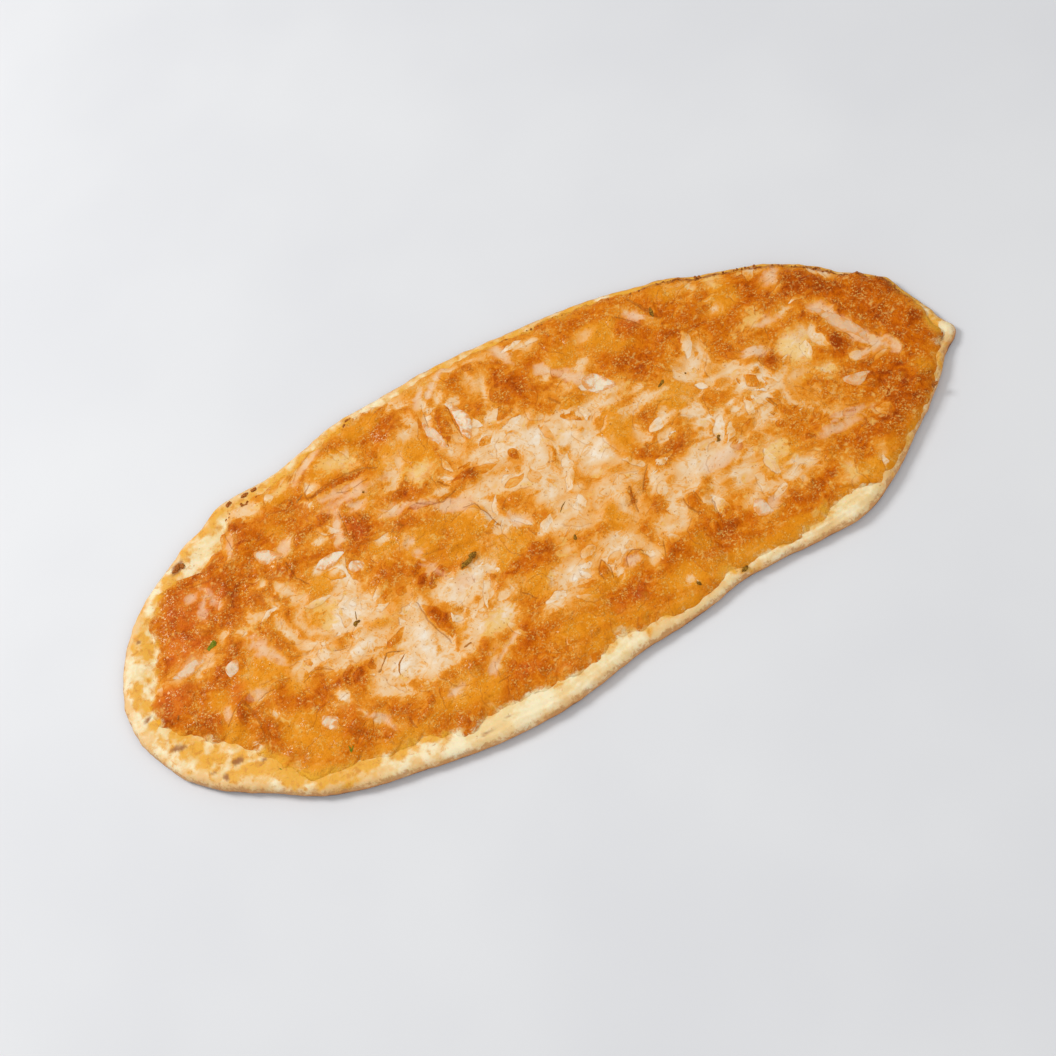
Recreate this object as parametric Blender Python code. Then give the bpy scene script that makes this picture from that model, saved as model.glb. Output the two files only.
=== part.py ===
"""Cheese lahmacun: a long oval flatbread baked under a crusted cheese topping.

The bread is one flat dough base with a puffed rim.  The topping is one baked
sheet of melted cheese that covers the bread up to the rim, with crusted lumps,
smooth pools and a few herb flakes fused into it.  Pale slivers of cheese lie in
shallow beds in the topping, each a piece of its own.

Metres, +Z up.  +X is the bread's long axis, its blunt end at -X.  The origin is
at the centre of the footprint, on the surface that the bread lies on.
"""
import math

import bmesh
import bpy
from mathutils import Matrix, Vector, noise

MM = 0.001

# Driving dimensions, in millimetres.
HALF_LENGTH = 168.0
HALF_WIDTH = 77.6
EGG_TAPER = 0.07          # the +X end is slimmer by this share
BED_HEIGHT = 4.0          # level dough under the topping
RIM_CROWN = 1.2           # how far the puffed rim rises over the bed
CROWN_INSET = 4.5         # the rim's highest line, in from the edge
RIM_REACH = 16.0          # the rim has sunk to the bed this far in
EDGE_HEIGHT = 2.3         # the bread is widest at this height
EDGE_ROUNDING = 3.0       # the top of the edge rounds over within this inset
FOOT_INSET = 2.2          # the flat bottom starts this far in
GAP = 0.4                 # clearance between pieces that lie on each other
TOPPING_THICKNESS = 2.1
TOPPING_LIP = 0.9         # thickness of the topping at its own edge
LIP_REACH = 9.0           # the topping is at full thickness this far in
SLIVER_THICKNESS = 1.1
WELD = 0.06               # corners closer than this become one

# All places below are on one drawing, whose zero lies near the bread's middle.
OVAL_SHIFT = -0.7         # the plain oval's middle along X on that drawing
# The oval's swells and dents: angle, spread (degrees) and share of the radius.
SWELLS = (
    (88, 62, 0.048), (10, 18, -0.010), (1, 5, 0.008), (18, 4, 0.008),
    (29, 4, -0.014), (44, 7, 0.012), (60, 3, 0.020), (70, 7, 0.022),
    (100, 4, -0.012), (118, 7, -0.034), (127, 4, 0.034), (136, 3, 0.010),
    (150, 14, 0.013), (192, 22, 0.007), (206, 8, 0.008), (222, 6, -0.016),
    (230, 15, 0.036), (243, 6, -0.010), (248, 12, 0.012), (276, 10, -0.085),
    (292, 9, -0.090), (308, 6, 0.052), (317, 6, 0.024), (352, 5, 0.036),
)
# Where the rim is puffed more or less than usual: angle, spread, share.
RIM_PUFFS = (
    (60, 50, -0.5), (150, 16, 0.2), (214, 26, 0.5), (262, 12, 0.25),
    (290, 12, -0.4), (312, 6, 0.3), (345, 14, -0.3),
)
# The bare rim's width up to the topping: angle and inset in millimetres.
BARE_RIM = (
    (0, 4.4), (5, 3.0), (11, 2.4), (20, 1.8), (29, 1.8), (36, 2.2), (46, 1.6),
    (54, 2.2), (61, 2.8), (66, 2.1), (73, 2.2), (82, 3.2), (90, 2.9), (103, 2.3),
    (106, 1.8), (110, 3.0), (121, 2.3), (126, 4.6), (130, 8.0), (134, 12.6),
    (138, 13.2), (144, 6.2), (148, 7.2), (153, 7.6), (159, 14.0), (169, 14.8),
    (175, 14.6), (181, 12.4), (187, 12.0), (194, 15.5), (200, 18.8), (205, 18.0),
    (209, 20.4), (214, 19.8), (218, 16.6), (223, 10.4), (229, 6.0), (233, 8.0),
    (236, 10.8), (240, 9.0), (243, 11.0), (248, 9.6), (251, 6.4), (254, 10.2),
    (259, 10.4), (263, 8.8), (267, 6.0), (270, 8.8), (273, 9.8), (277, 4.8),
    (280, 5.4), (284, 2.4), (288, 3.0), (291, 4.6), (294, 2.4), (297, 4.4),
    (300, 2.8), (303, 4.8), (307, 10.6), (309, 10.6), (313, 3.4), (317, 1.8),
    (326, 1.8), (334, 2.1), (341, 1.8), (345, 2.4), (349, 4.8), (355, 5.6),
    (360, 4.4),
)
# Smooth pools that sink: x, y, half length, half width (mm), turn (degrees).
POOLS = (
    (6, 12, 42, 22, 8), (-80, 4, 24, 22, 30), (-60, -25, 24, 13, 12),
    (82, 20, 13, 20, -10), (114, 16, 13, 12, 20), (92, -28, 22, 11, 10),
    (2, -31, 22, 8, 10), (-34, 48, 13, 11, 0), (-52, 60, 12, 7, 5),
)
POOL_DEPTH = 0.45
# Crusted curls and folds that stand up, in the same terms.
CURLS = (
    (-14, 26, 16, 3.5, 3), (-17, 8, 11, 3.5, -62), (-130, -21, 11, 4, 60),
    (-120, -30, 12, 3.5, -72), (-30, -7, 8, 3.0, 24), (60, -23, 10, 4, 70),
    (-52, 44, 14, 4, 20), (100, 14, 9, 4, 60), (30, -13, 11, 3.5, 15),
    (-88, -46, 14, 5, 8), (44, -42, 16, 6, 4), (108, -26, 12, 5, 12),
    (70, 50, 12, 6, -18), (128, 40, 14, 5, -35), (-108, 44, 14, 6, 25),
)
CURL_HEIGHT = 0.9
# Baked lumps: wavelength and height in millimetres.
LUMPS = ((18.0, 0.6), (9.5, 0.7))
# Pale cheese slivers: x, y, length, width (mm), turn (degrees).
SLIVERS = (
    (-98, 36.5, 12, 7.0, -45), (-141, 6.5, 16, 5.0, 8), (-126.5, -2, 8, 5.5, 55),
    (-77, 21, 15, 6.5, 8), (-68, 14, 8, 6.5, -10), (-8, 51, 20, 6.0, 96),
    (-20, 50, 20, 4.5, 108), (44.5, 37.5, 15, 7.5, -38), (137.5, 11.5, 32, 6.0, -66),
    (130, -13, 11, 5.5, -15), (75, -43, 9.5, 6.5, -60), (-100, -40.5, 11, 7.0, -62),
)
BED_MARGIN = 3.6          # the topping is level this far round a sliver
BED_FADE = 5.0            # and fades back to its lumps over this much more
# Herb flakes: x, y, length, width (mm), turn (degrees).
HERBS = (
    (-127.5, 10.5, 5, 3.4, 20), (-77, -9, 4, 2.4, 60), (66, 24, 4, 2.6, 30),
    (76, 55, 5, 3.0, 80), (-95, -52, 5, 2.8, 5), (41, -56, 4, 3.0, 20),
    (74, -9, 3, 2.2, 0), (118, -38, 4, 3.0, 15), (-30, -6, 9, 2.4, 24),
)
HERB_HEIGHT = 0.7

# Facets.
DOUGH_SECTORS = 168
TOPPING_COLUMNS = 78
TOPPING_ROWS = 34
SLIVER_POINTS = 14


def angle_between(angle, centre):
    """The turn from centre to angle, within half a circle, in degrees."""
    return (angle - centre + 180.0) % 360.0 - 180.0


def swell(angle, table):
    """The sum of a table's bell-shaped swells at an angle."""
    total = 0.0
    for centre, spread, share in table:
        total += share * math.exp(-(angle_between(angle, centre) / spread) ** 2)
    return total


def smooth(low, high, value):
    """0 below low, 1 above high, with a soft passage between them."""
    share = min(max((value - low) / (high - low), 0.0), 1.0)
    return share * share * (3.0 - 2.0 * share)


def inward(angle):
    """The direction into the bread at an angle of the outline."""
    turn = math.radians(angle)
    normal = Vector((math.cos(turn) / HALF_LENGTH, math.sin(turn) / HALF_WIDTH))
    return -normal.normalized()


def edge_point(angle, inset=0.0):
    """A place on the drawing, at an inset from the bread's edge."""
    turn = math.radians(angle)
    radius = 1.0 + swell(angle, SWELLS)
    x = HALF_LENGTH * math.cos(turn) * radius + OVAL_SHIFT
    y = HALF_WIDTH * (1.0 - EGG_TAPER * math.cos(turn)) * math.sin(turn) * radius
    return Vector((x, y)) + inward(angle) * inset


def outline_centre():
    """The middle of the outline's own box, which becomes the origin."""
    points = [edge_point(step * 0.5) for step in range(720)]
    xs = [point.x for point in points]
    ys = [point.y for point in points]
    return Vector(((min(xs) + max(xs)) / 2.0, (min(ys) + max(ys)) / 2.0))


CENTRE = outline_centre()


def spot(place, height):
    """A place on the drawing, in millimetres, as a point of the part in metres."""
    return Vector((place.x - CENTRE.x, place.y - CENTRE.y, height)) * MM


def dough_top(angle, inset):
    """Height of the dough's upper face at an inset from its edge."""
    crown = RIM_CROWN * (1.0 + swell(angle, RIM_PUFFS))
    if inset >= CROWN_INSET:
        return BED_HEIGHT + crown * (1.0 - smooth(CROWN_INSET, RIM_REACH, inset))
    top = BED_HEIGHT + crown
    if inset >= EDGE_ROUNDING:
        return top
    share = 1.0 - inset / EDGE_ROUNDING
    return EDGE_HEIGHT + (top - EDGE_HEIGHT) * math.sqrt(1.0 - share * share)


def bare_rim(angle):
    """Width of the bare rim at an angle, eased between the named widths."""
    angle %= 360.0
    for (start, first), (end, second) in zip(BARE_RIM, BARE_RIM[1:]):
        if start <= angle <= end:
            return first + (second - first) * smooth(start, end, angle)
    return BARE_RIM[0][1]


def blob(point, x, y, half_length, half_width, turn):
    """Distance from a blob's centre, where 1 is on its oval edge."""
    offset = Matrix.Rotation(-math.radians(turn), 2) @ (point - Vector((x, y)))
    return math.hypot(offset.x / half_length, offset.y / half_width)


def lumpy_height(point):
    """Relief of the baked cheese over its mean level, in millimetres."""
    height = 0.0
    for wavelength, lump in LUMPS:
        height += lump * noise.noise(Vector((point.x, point.y, 0.0)) / wavelength)
    for pool in POOLS:
        height -= POOL_DEPTH * (1.0 - smooth(0.55, 1.15, blob(point, *pool)))
    for curl in CURLS:
        height += CURL_HEIGHT * (1.0 - smooth(0.3, 1.2, blob(point, *curl)))
    return height


def level_share(point):
    """1 in a sliver's bed, 0 away from all slivers."""
    share = 0.0
    for x, y, length, width, turn in SLIVERS:
        offset = Matrix.Rotation(-math.radians(turn), 2) @ (point - Vector((x, y)))
        along = max(abs(offset.x) - (length - width) / 2.0, 0.0)
        away = math.hypot(along, offset.y) - width / 2.0
        near = 1.0 - smooth(BED_MARGIN, BED_MARGIN + BED_FADE, away)
        share = max(share, near)
    return share


BED_LEVEL = BED_HEIGHT + GAP + TOPPING_THICKNESS


def topping_top(angle, share):
    """Height of the topping's upper face at a share of the way to its edge."""
    edge = edge_point(angle, bare_rim(angle))
    point = edge * share
    depth = (1.0 - share) * -edge.dot(inward(angle))
    rise = smooth(0.0, LIP_REACH, depth)
    lift = dough_top(angle, max(bare_rim(angle) + depth, CROWN_INSET))
    lip = lift + GAP + TOPPING_LIP
    full = max(lift - BED_HEIGHT, 0.0) * 0.5 + BED_LEVEL
    relief = lumpy_height(point) * (0.35 + 0.65 * rise)
    height = lip + (full - lip) * rise + relief
    level = level_share(point)
    return point, height + (BED_LEVEL - height) * level


def disc_place(u, v):
    """Angle and radius on a disc of nested rings for a place on the square."""
    if abs(u) >= abs(v):
        turn = 45.0 * v / u if u else 0.0
        return (turn if u >= 0.0 else turn + 180.0), abs(u)
    turn = 90.0 - 45.0 * u / v
    return (turn if v > 0.0 else turn + 180.0), abs(v)


def finish(name, mesh, colour, roughness):
    """Shade a bmesh, give it its own material and put it in the scene."""
    bmesh.ops.recalc_face_normals(mesh, faces=mesh.faces)
    data = bpy.data.meshes.new(name)
    mesh.to_mesh(data)
    mesh.free()
    data.shade_smooth()
    data.set_sharp_from_angle(angle=math.radians(40.0))
    piece = bpy.data.objects.new(name, data)
    bpy.context.collection.objects.link(piece)
    material = bpy.data.materials.new(name)
    material.use_nodes = True
    shader = material.node_tree.nodes["Principled BSDF"]
    shader.inputs["Base Color"].default_value = colour
    shader.inputs["Roughness"].default_value = roughness
    shader.inputs["Metallic"].default_value = 0.0
    data.materials.append(material)
    return piece


def extrude_ring(mesh, ring):
    """Extrude a ring of edges; return the new edges and vertices."""
    grown = bmesh.ops.extrude_edge_only(mesh, edges=ring)["geom"]
    edges = [item for item in grown if isinstance(item, bmesh.types.BMEdge)]
    verts = [item for item in grown if isinstance(item, bmesh.types.BMVert)]
    edges = [edge for edge in edges if all(vert in verts for vert in edge.verts)]
    return edges, verts


def make_dough():
    """The bread: a flat foot, a rounded edge, a puffed rim and a level bed."""
    mesh = bmesh.new()
    turn_layer = mesh.verts.layers.float.new("turn")
    bmesh.ops.create_circle(mesh, segments=DOUGH_SECTORS, radius=1.0, cap_ends=True)
    for vert in mesh.verts:
        vert[turn_layer] = math.degrees(math.atan2(vert.co.y, vert.co.x))
    side = ((0.7, 0.75), (0.0, EDGE_HEIGHT))
    for vert in mesh.verts:
        vert.co = spot(edge_point(vert[turn_layer], FOOT_INSET), 0.0)
    ring = list(mesh.edges)
    for inset, height in side:
        ring, verts = extrude_ring(mesh, ring)
        for vert in verts:
            vert.co = spot(edge_point(vert[turn_layer], inset), height)
    for inset in (0.8, EDGE_ROUNDING, 6.5, 9.5, 12.5, RIM_REACH):
        ring, verts = extrude_ring(mesh, ring)
        for vert in verts:
            angle = vert[turn_layer]
            vert.co = spot(edge_point(angle, inset), dough_top(angle, inset))
    bmesh.ops.edgeloop_fill(mesh, edges=ring)
    return finish("dough", mesh, (0.83, 0.62, 0.34, 1.0), 0.75)


def make_herb(x, y, length, width, turn):
    """One dry herb flake, a thin lens half sunk in the topping."""
    mesh = bmesh.new()
    bmesh.ops.create_icosphere(mesh, subdivisions=1, radius=1.0)
    size = Vector((length / 2.0, width / 2.0, HERB_HEIGHT)) * MM
    bmesh.ops.scale(mesh, vec=size, verts=mesh.verts)
    rotation = Matrix.Rotation(math.radians(turn), 3, "Z")
    bmesh.ops.rotate(mesh, cent=(0, 0, 0), matrix=rotation, verts=mesh.verts)
    place = Vector((x, y))
    height = BED_LEVEL + lumpy_height(place) * (1.0 - level_share(place))
    bmesh.ops.translate(mesh, vec=spot(place, height), verts=mesh.verts)
    return finish("herb", mesh, (0.07, 0.07, 0.02, 1.0), 0.7)


def make_topping():
    """The baked cheese: a lumpy upper face, a ragged lip and a level underside."""
    mesh = bmesh.new()
    turn_layer = mesh.verts.layers.float.new("turn")
    bmesh.ops.create_grid(
        mesh, x_segments=TOPPING_COLUMNS, y_segments=TOPPING_ROWS, size=1.0
    )
    for vert in mesh.verts:
        angle, share = disc_place(vert.co.x, vert.co.y)
        vert[turn_layer] = angle
        point, height = topping_top(angle, share)
        vert.co = spot(point, height)
    ring = [edge for edge in mesh.edges if edge.is_boundary]
    for share in (0.0, 0.15, 0.4, 0.7, 1.0):
        ring, verts = extrude_ring(mesh, ring)
        for vert in verts:
            angle = vert[turn_layer]
            rim = bare_rim(angle)
            inset = rim + (max(RIM_REACH, rim + 1.0) - rim) * share
            height = dough_top(angle, max(inset, CROWN_INSET)) + GAP
            vert.co = spot(edge_point(angle, inset), height)
    bmesh.ops.edgeloop_fill(mesh, edges=ring)
    bmesh.ops.triangulate(mesh, faces=mesh.faces)
    return finish("cheese_topping", mesh, (0.62, 0.24, 0.05, 1.0), 0.55)


def fuse(piece, extras):
    """Join small solids into a piece with one Boolean union."""
    group = bpy.data.collections.new("extras")
    for extra in extras:
        group.objects.link(extra)
    union = piece.modifiers.new("union", "BOOLEAN")
    union.operation = "UNION"
    union.operand_type = "COLLECTION"
    union.collection = group
    bpy.context.view_layer.update()
    graph = bpy.context.evaluated_depsgraph_get()
    joined = bpy.data.meshes.new_from_object(piece.evaluated_get(graph))
    piece.modifiers.clear()
    piece.data = joined
    mesh = bmesh.new()
    mesh.from_mesh(joined)
    bmesh.ops.remove_doubles(mesh, verts=mesh.verts, dist=WELD * MM)
    bmesh.ops.triangulate(mesh, faces=mesh.faces)
    mesh.to_mesh(joined)
    mesh.free()
    for extra in extras:
        bpy.data.objects.remove(extra)
    bpy.data.collections.remove(group)


def make_sliver(number, x, y, length, width, turn):
    """A pale cheese sliver: a thin irregular leaf with softened upper edges."""
    mesh = bmesh.new()
    bmesh.ops.create_circle(mesh, segments=SLIVER_POINTS, radius=1.0, cap_ends=True)
    for vert in mesh.verts:
        ragged = noise.noise(Vector((vert.co.x, vert.co.y, number * 1.7)) * 1.6)
        vert.co *= 0.94 + 0.22 * ragged
        bend = 0.10 * math.sin(number * 2.1) * (1.0 - vert.co.x ** 2)
        vert.co.x *= length / 2.0 * MM
        vert.co.y = (vert.co.y * width / 2.0 + bend * length) * MM
    base = list(mesh.faces)
    top = bmesh.ops.extrude_face_region(mesh, geom=base, use_keep_orig=True)["geom"]
    upper = [item for item in top if isinstance(item, bmesh.types.BMVert)]
    rise = Vector((0.0, 0.0, SLIVER_THICKNESS * MM * 0.6))
    bmesh.ops.translate(mesh, vec=rise, verts=upper)
    lid = [item for item in top if isinstance(item, bmesh.types.BMFace)]
    bmesh.ops.inset_region(
        mesh, faces=lid, thickness=width * 0.14 * MM, depth=SLIVER_THICKNESS * 0.4 * MM
    )
    rotation = Matrix.Rotation(math.radians(turn), 3, "Z")
    bmesh.ops.rotate(mesh, cent=(0, 0, 0), matrix=rotation, verts=mesh.verts)
    lift = spot(Vector((x, y)), BED_LEVEL + GAP)
    bmesh.ops.translate(mesh, vec=lift, verts=mesh.verts)
    name = f"cheese_sliver_{number:02d}"
    return finish(name, mesh, (0.90, 0.72, 0.52, 1.0), 0.45)


for old in list(bpy.data.objects):
    bpy.data.objects.remove(old)

make_dough()
topping = make_topping()
fuse(topping, [make_herb(*herb) for herb in HERBS])
for index, sliver in enumerate(SLIVERS, start=1):
    make_sliver(index, *sliver)
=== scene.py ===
import math

import bmesh
import bpy
import numpy as np
from mathutils import Matrix, Vector, noise
from mathutils.bvhtree import BVHTree


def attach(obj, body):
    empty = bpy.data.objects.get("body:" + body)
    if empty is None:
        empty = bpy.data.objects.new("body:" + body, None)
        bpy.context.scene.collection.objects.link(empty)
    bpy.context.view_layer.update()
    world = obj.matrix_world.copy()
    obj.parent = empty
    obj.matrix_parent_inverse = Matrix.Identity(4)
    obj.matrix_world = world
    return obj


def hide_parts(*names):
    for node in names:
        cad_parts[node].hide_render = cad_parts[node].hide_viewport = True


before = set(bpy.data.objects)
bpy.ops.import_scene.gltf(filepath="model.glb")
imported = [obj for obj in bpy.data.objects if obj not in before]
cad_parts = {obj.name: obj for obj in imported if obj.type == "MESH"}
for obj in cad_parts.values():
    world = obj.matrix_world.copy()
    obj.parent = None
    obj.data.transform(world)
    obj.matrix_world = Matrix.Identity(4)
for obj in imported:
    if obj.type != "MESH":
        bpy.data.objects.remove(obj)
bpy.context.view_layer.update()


# ---- Table and light -------------------------------------------------------------
# A plain pale table top under soft studio light, and the camera above the bread's
# near side.  The camera looks down by 60 degrees and is rolled, so that the long
# axis climbs to the upper right.

MM = 0.001
TABLE_HALF_SIZE = 3.0
CAMERA_TARGET = Vector((-4.76, -6.87, 5.0)) * MM
CAMERA_DISTANCE = 0.75
CAMERA_ELEVATION = math.radians(60.0)
CAMERA_ROLL = math.radians(27.0)
CAMERA_LENS = 68.5
# Square soft lights: place and size in metres, power in watts.
KEY_LIGHT = ((-0.75, 0.75, 1.1), 0.5, 13.0)
FILL_LIGHT = ((0.5, -1.0, 1.1), 1.2, 6.0)
ROOM_COLOUR = (1.0, 1.0, 1.0, 1.0)
ROOM_GLOW = 0.44


class Wire:
    """A shader socket; sums on wires add the Math nodes that work them out."""

    def __init__(self, tree, socket=None):
        self.tree = tree
        self.socket = socket

    def node(self, kind, settings=None, sockets=None, output=0):
        """Adds a node: first its settings, then its sockets' values or links."""
        made = self.tree.nodes.new(kind)
        for name, value in (settings or {}).items():
            setattr(made, name, value)
        for name, value in (sockets or {}).items():
            if isinstance(value, Wire):
                self.tree.links.new(value.socket, made.inputs[name])
            else:
                made.inputs[name].default_value = value
        return Wire(self.tree, made.outputs[output])

    def also(self, output):
        """Another output of the node that this wire comes from."""
        return Wire(self.tree, self.socket.node.outputs[output])

    def sum(self, operation, first, second):
        settings = {"operation": operation}
        return self.node("ShaderNodeMath", settings, {0: first, 1: second})

    def __add__(self, other):
        return self.sum("ADD", self, other)

    __radd__ = __add__

    def __sub__(self, other):
        return self.sum("SUBTRACT", self, other)

    def __rsub__(self, other):
        return self.sum("SUBTRACT", other, self)

    def __mul__(self, other):
        return self.sum("MULTIPLY", self, other)

    __rmul__ = __mul__

    def step(self, low, high):
        """0 below low and 1 above high, with a soft passage between them."""
        settings = {"interpolation_type": "SMOOTHSTEP"}
        sockets = {"Value": self, "From Min": low, "From Max": high}
        return self.node("ShaderNodeMapRange", settings, sockets)

    def value(self, name):
        """A number that the mesh carries for each of its corners."""
        settings = {"attribute_type": "GEOMETRY", "attribute_name": name}
        return self.node("ShaderNodeAttribute", settings, output="Fac")

    def place(self):
        return self.node("ShaderNodeTexCoord", output="Object")

    def grain(self, size, detail=2.0, rough=0.5, swirl=0.0):
        """Soft noise around 0, whose lumps are about size millimetres."""
        sockets = {"Vector": self.place(), "Scale": 1.0 / (size * MM)}
        sockets.update({"Detail": detail, "Roughness": rough, "Distortion": swirl})
        return self.node("ShaderNodeTexNoise", None, sockets) - 0.5

    def line(self, low, high):
        """1 where this wire passes through 0: low and high are on its square."""
        return 1 - (self * self).step(low, high)

    def dots(self, size, radius, share):
        """1 on scattered round dots: their spacing, radius and share of places."""
        sockets = {"Vector": self.place(), "Scale": 1.0 / (size * MM)}
        near = self.node("ShaderNodeTexVoronoi", {"voronoi_dimensions": "2D"}, sockets)
        pick = self.node("ShaderNodeSeparateColor", None, {0: near.also("Color")})
        inside = 1 - near.step(radius / size * 0.5, radius / size * 1.2)
        return inside * (1 - pick.step(share, share + 0.02))

    def tinted(self, first, second):
        """The first colour where this wire is 0, the second where it is 1."""
        settings = {"data_type": "RGBA"}
        return self.node("ShaderNodeMix", settings, {0: self, 6: first, 7: second}, 2)

    def ramp(self, stops):
        """Colours along this wire, from 0 to 1."""
        wire = self.node("ShaderNodeValToRGB", None, {"Fac": self})
        elements = wire.socket.node.color_ramp.elements
        for stop in range(len(stops) - 2):
            elements.new(0.5)
        for element, (place, colour) in zip(elements, stops):
            element.position = place
            element.color = colour
        return wire


def tint(red, green, blue):
    """A colour given as it shows on a screen, 0 to 255, made linear."""
    shown = [channel / 255.0 for channel in (red, green, blue)]
    linear = [c / 12.92 if c <= 0.04045 else ((c + 0.055) / 1.055) ** 2.4 for c in shown]
    return (*linear, 1.0)


def start_material(name, fixed):
    """A material whose even properties are set on the shader's own sockets."""
    material = bpy.data.materials.new(name)
    material.use_nodes = True
    shader = material.node_tree.nodes["Principled BSDF"]
    for socket, value in fixed.items():
        shader.inputs[socket].default_value = value
    return material, Wire(material.node_tree)


def feed(material, wires, relief=None, relief_height=0.0):
    """Link what varies over the surface to the shader, and relief as a bump."""
    tree = material.node_tree
    shader = tree.nodes["Principled BSDF"]
    for socket, wire in wires.items():
        tree.links.new(wire.socket, shader.inputs[socket])
    if relief:
        sockets = {"Height": relief, "Distance": relief_height * MM, "Strength": 1.0}
        normal = relief.node("ShaderNodeBump", None, sockets)
        tree.links.new(normal.socket, shader.inputs["Normal"])


def new_piece(name, mesh, material):
    piece = bpy.data.objects.new(name, mesh)
    bpy.context.collection.objects.link(piece)
    mesh.materials.append(material)
    return piece


def to_mesh(name, shape):
    """Turn a bmesh into a mesh with its faces outward."""
    bmesh.ops.recalc_face_normals(shape, faces=shape.faces)
    mesh = bpy.data.meshes.new(name)
    shape.to_mesh(mesh)
    shape.free()
    return mesh


def make_table():
    shape = bmesh.new()
    bmesh.ops.create_grid(shape, x_segments=1, y_segments=1, size=TABLE_HALF_SIZE)
    mesh = to_mesh("table", shape)
    material, start = start_material("pale table", {"Roughness": 0.6})
    cloud = start.grain(140.0, 3.0).step(-0.2, 0.2)
    feed(material, {"Base Color": cloud.tinted(tint(224, 225, 228), tint(230, 231, 233))})
    new_piece("table", mesh, material)


def make_camera():
    ahead = Vector((0.0, math.cos(CAMERA_ELEVATION), -math.sin(CAMERA_ELEVATION)))
    level = Vector((1.0, 0.0, 0.0))
    turn = Matrix.Rotation(CAMERA_ROLL, 3, ahead)
    right = turn @ level
    up = turn @ level.cross(ahead)
    place = CAMERA_TARGET - ahead * CAMERA_DISTANCE
    axes = Matrix((right, up, -ahead)).transposed().to_4x4()
    lens = bpy.data.cameras.new("camera")
    lens.lens = CAMERA_LENS
    lens.clip_start = 0.01
    camera = bpy.data.objects.new("camera", lens)
    camera.matrix_world = Matrix.Translation(place) @ axes
    bpy.context.collection.objects.link(camera)
    bpy.context.scene.camera = camera


def make_softbox(name, place, size, power):
    lamp = bpy.data.lights.new(name, "AREA")
    lamp.shape = "SQUARE"
    lamp.size = size
    lamp.energy = power
    box = bpy.data.objects.new(name, lamp)
    box.location = place
    box.rotation_euler = Vector(place).to_track_quat("Z", "Y").to_euler()
    bpy.context.collection.objects.link(box)


def make_room():
    """An even pale glow from all sides."""
    world = bpy.data.worlds.new("soft room")
    world.use_nodes = True
    background = world.node_tree.nodes["Background"]
    background.inputs["Color"].default_value = ROOM_COLOUR
    background.inputs["Strength"].default_value = ROOM_GLOW
    bpy.context.scene.world = world


make_table()
make_camera()
make_softbox("key light", *KEY_LIGHT)
make_softbox("fill light", *FILL_LIGHT)
make_room()
bpy.context.scene.view_settings.view_transform = "Standard"


# ---- Bread -----------------------------------------------------------------------
# The dough base: a long oval rolled by hand, flat and browned underneath, with a
# rounded edge and a puffed floury rim.  Made as rings of dough profile that follow
# the oval's edge, with the same sizes as the solid.

HALF_LENGTH = 168.0
HALF_WIDTH = 77.6
EGG_TAPER = 0.07
BED_HEIGHT = 4.0
RIM_CROWN = 1.2
CROWN_INSET = 4.5
RIM_REACH = 16.0
EDGE_HEIGHT = 2.3
EDGE_ROUNDING = 3.0
FOOT_INSET = 2.2
# The side's rings from the foot up: inset and height in millimetres.  The rings on
# the top lie closer together towards the edge.
SIDE_RINGS = ((FOOT_INSET, 0.0), (1.6, 0.25), (0.7, 0.8), (0.2, 1.5), (0.0, EDGE_HEIGHT))
BREAD_SECTORS = 960
BREAD_TOP_RINGS = 30
BREAD_TOP_REACH = 26.0
RING_CROWDING = 1.35
# Ripples are pairs of wavelength and height: the edge's, the blisters', and those
# that make stains and scorched spots ragged.
EDGE_RIPPLES = ((9.0, 0.5), (3.4, 0.35))
BLISTERS = ((11.0, 0.35), (4.0, 0.16), (1.8, 0.07))
STAIN_RIPPLES = ((5.0, 2.4), (2.2, 1.4), (1.1, 0.6))
SCORCH_RIPPLES = ((2.0, 0.7), (1.0, 0.4))
# The thin flap at the right tip: where along the bread it begins, where it is down
# by its whole drop, and that drop.
FLAP_START = 160.0
FLAP_END = 166.0
FLAP_DROP = 0.8
# A depth for places that lie in no patch at all, and how far from the topping's edge
# the dough still knows of it.
FAR_OUTSIDE = -99.0
BARE_REACH = 12.0
# All places below are on one drawing, whose zero lies near the bread's middle.
OVAL_SHIFT = -0.7
# The oval's swells and dents: angle, spread (degrees) and share of the radius.
SWELLS = (
    (88, 62, 0.048), (10, 18, -0.010), (1, 5, 0.008), (18, 4, 0.008),
    (29, 4, -0.014), (44, 7, 0.012), (60, 3, 0.020), (70, 7, 0.022),
    (100, 4, -0.012), (118, 7, -0.034), (127, 4, 0.034), (136, 3, 0.010),
    (150, 14, 0.013), (192, 22, 0.007), (206, 8, 0.008), (222, 6, -0.016),
    (230, 15, 0.036), (243, 6, -0.010), (248, 12, 0.012), (276, 10, -0.085),
    (292, 9, -0.090), (308, 6, 0.052), (317, 6, 0.024), (352, 5, 0.036),
)
# Where the rim is puffed more or less than usual: angle, spread, share.
RIM_PUFFS = (
    (60, 50, -0.5), (150, 16, 0.2), (214, 26, 0.5), (262, 12, 0.25),
    (290, 12, -0.4), (312, 6, 0.3), (345, 14, -0.3),
)
# Where thin folds run along the near rim, in the same terms, how high they are, and
# how fast they follow each other inwards, in radians a millimetre.
FOLDS = ((262, 14, 1.0), (305, 9, 1.4), (350, 9, 0.8))
FOLD_HEIGHT = 0.22
FOLD_PACE = 2.4
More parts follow.
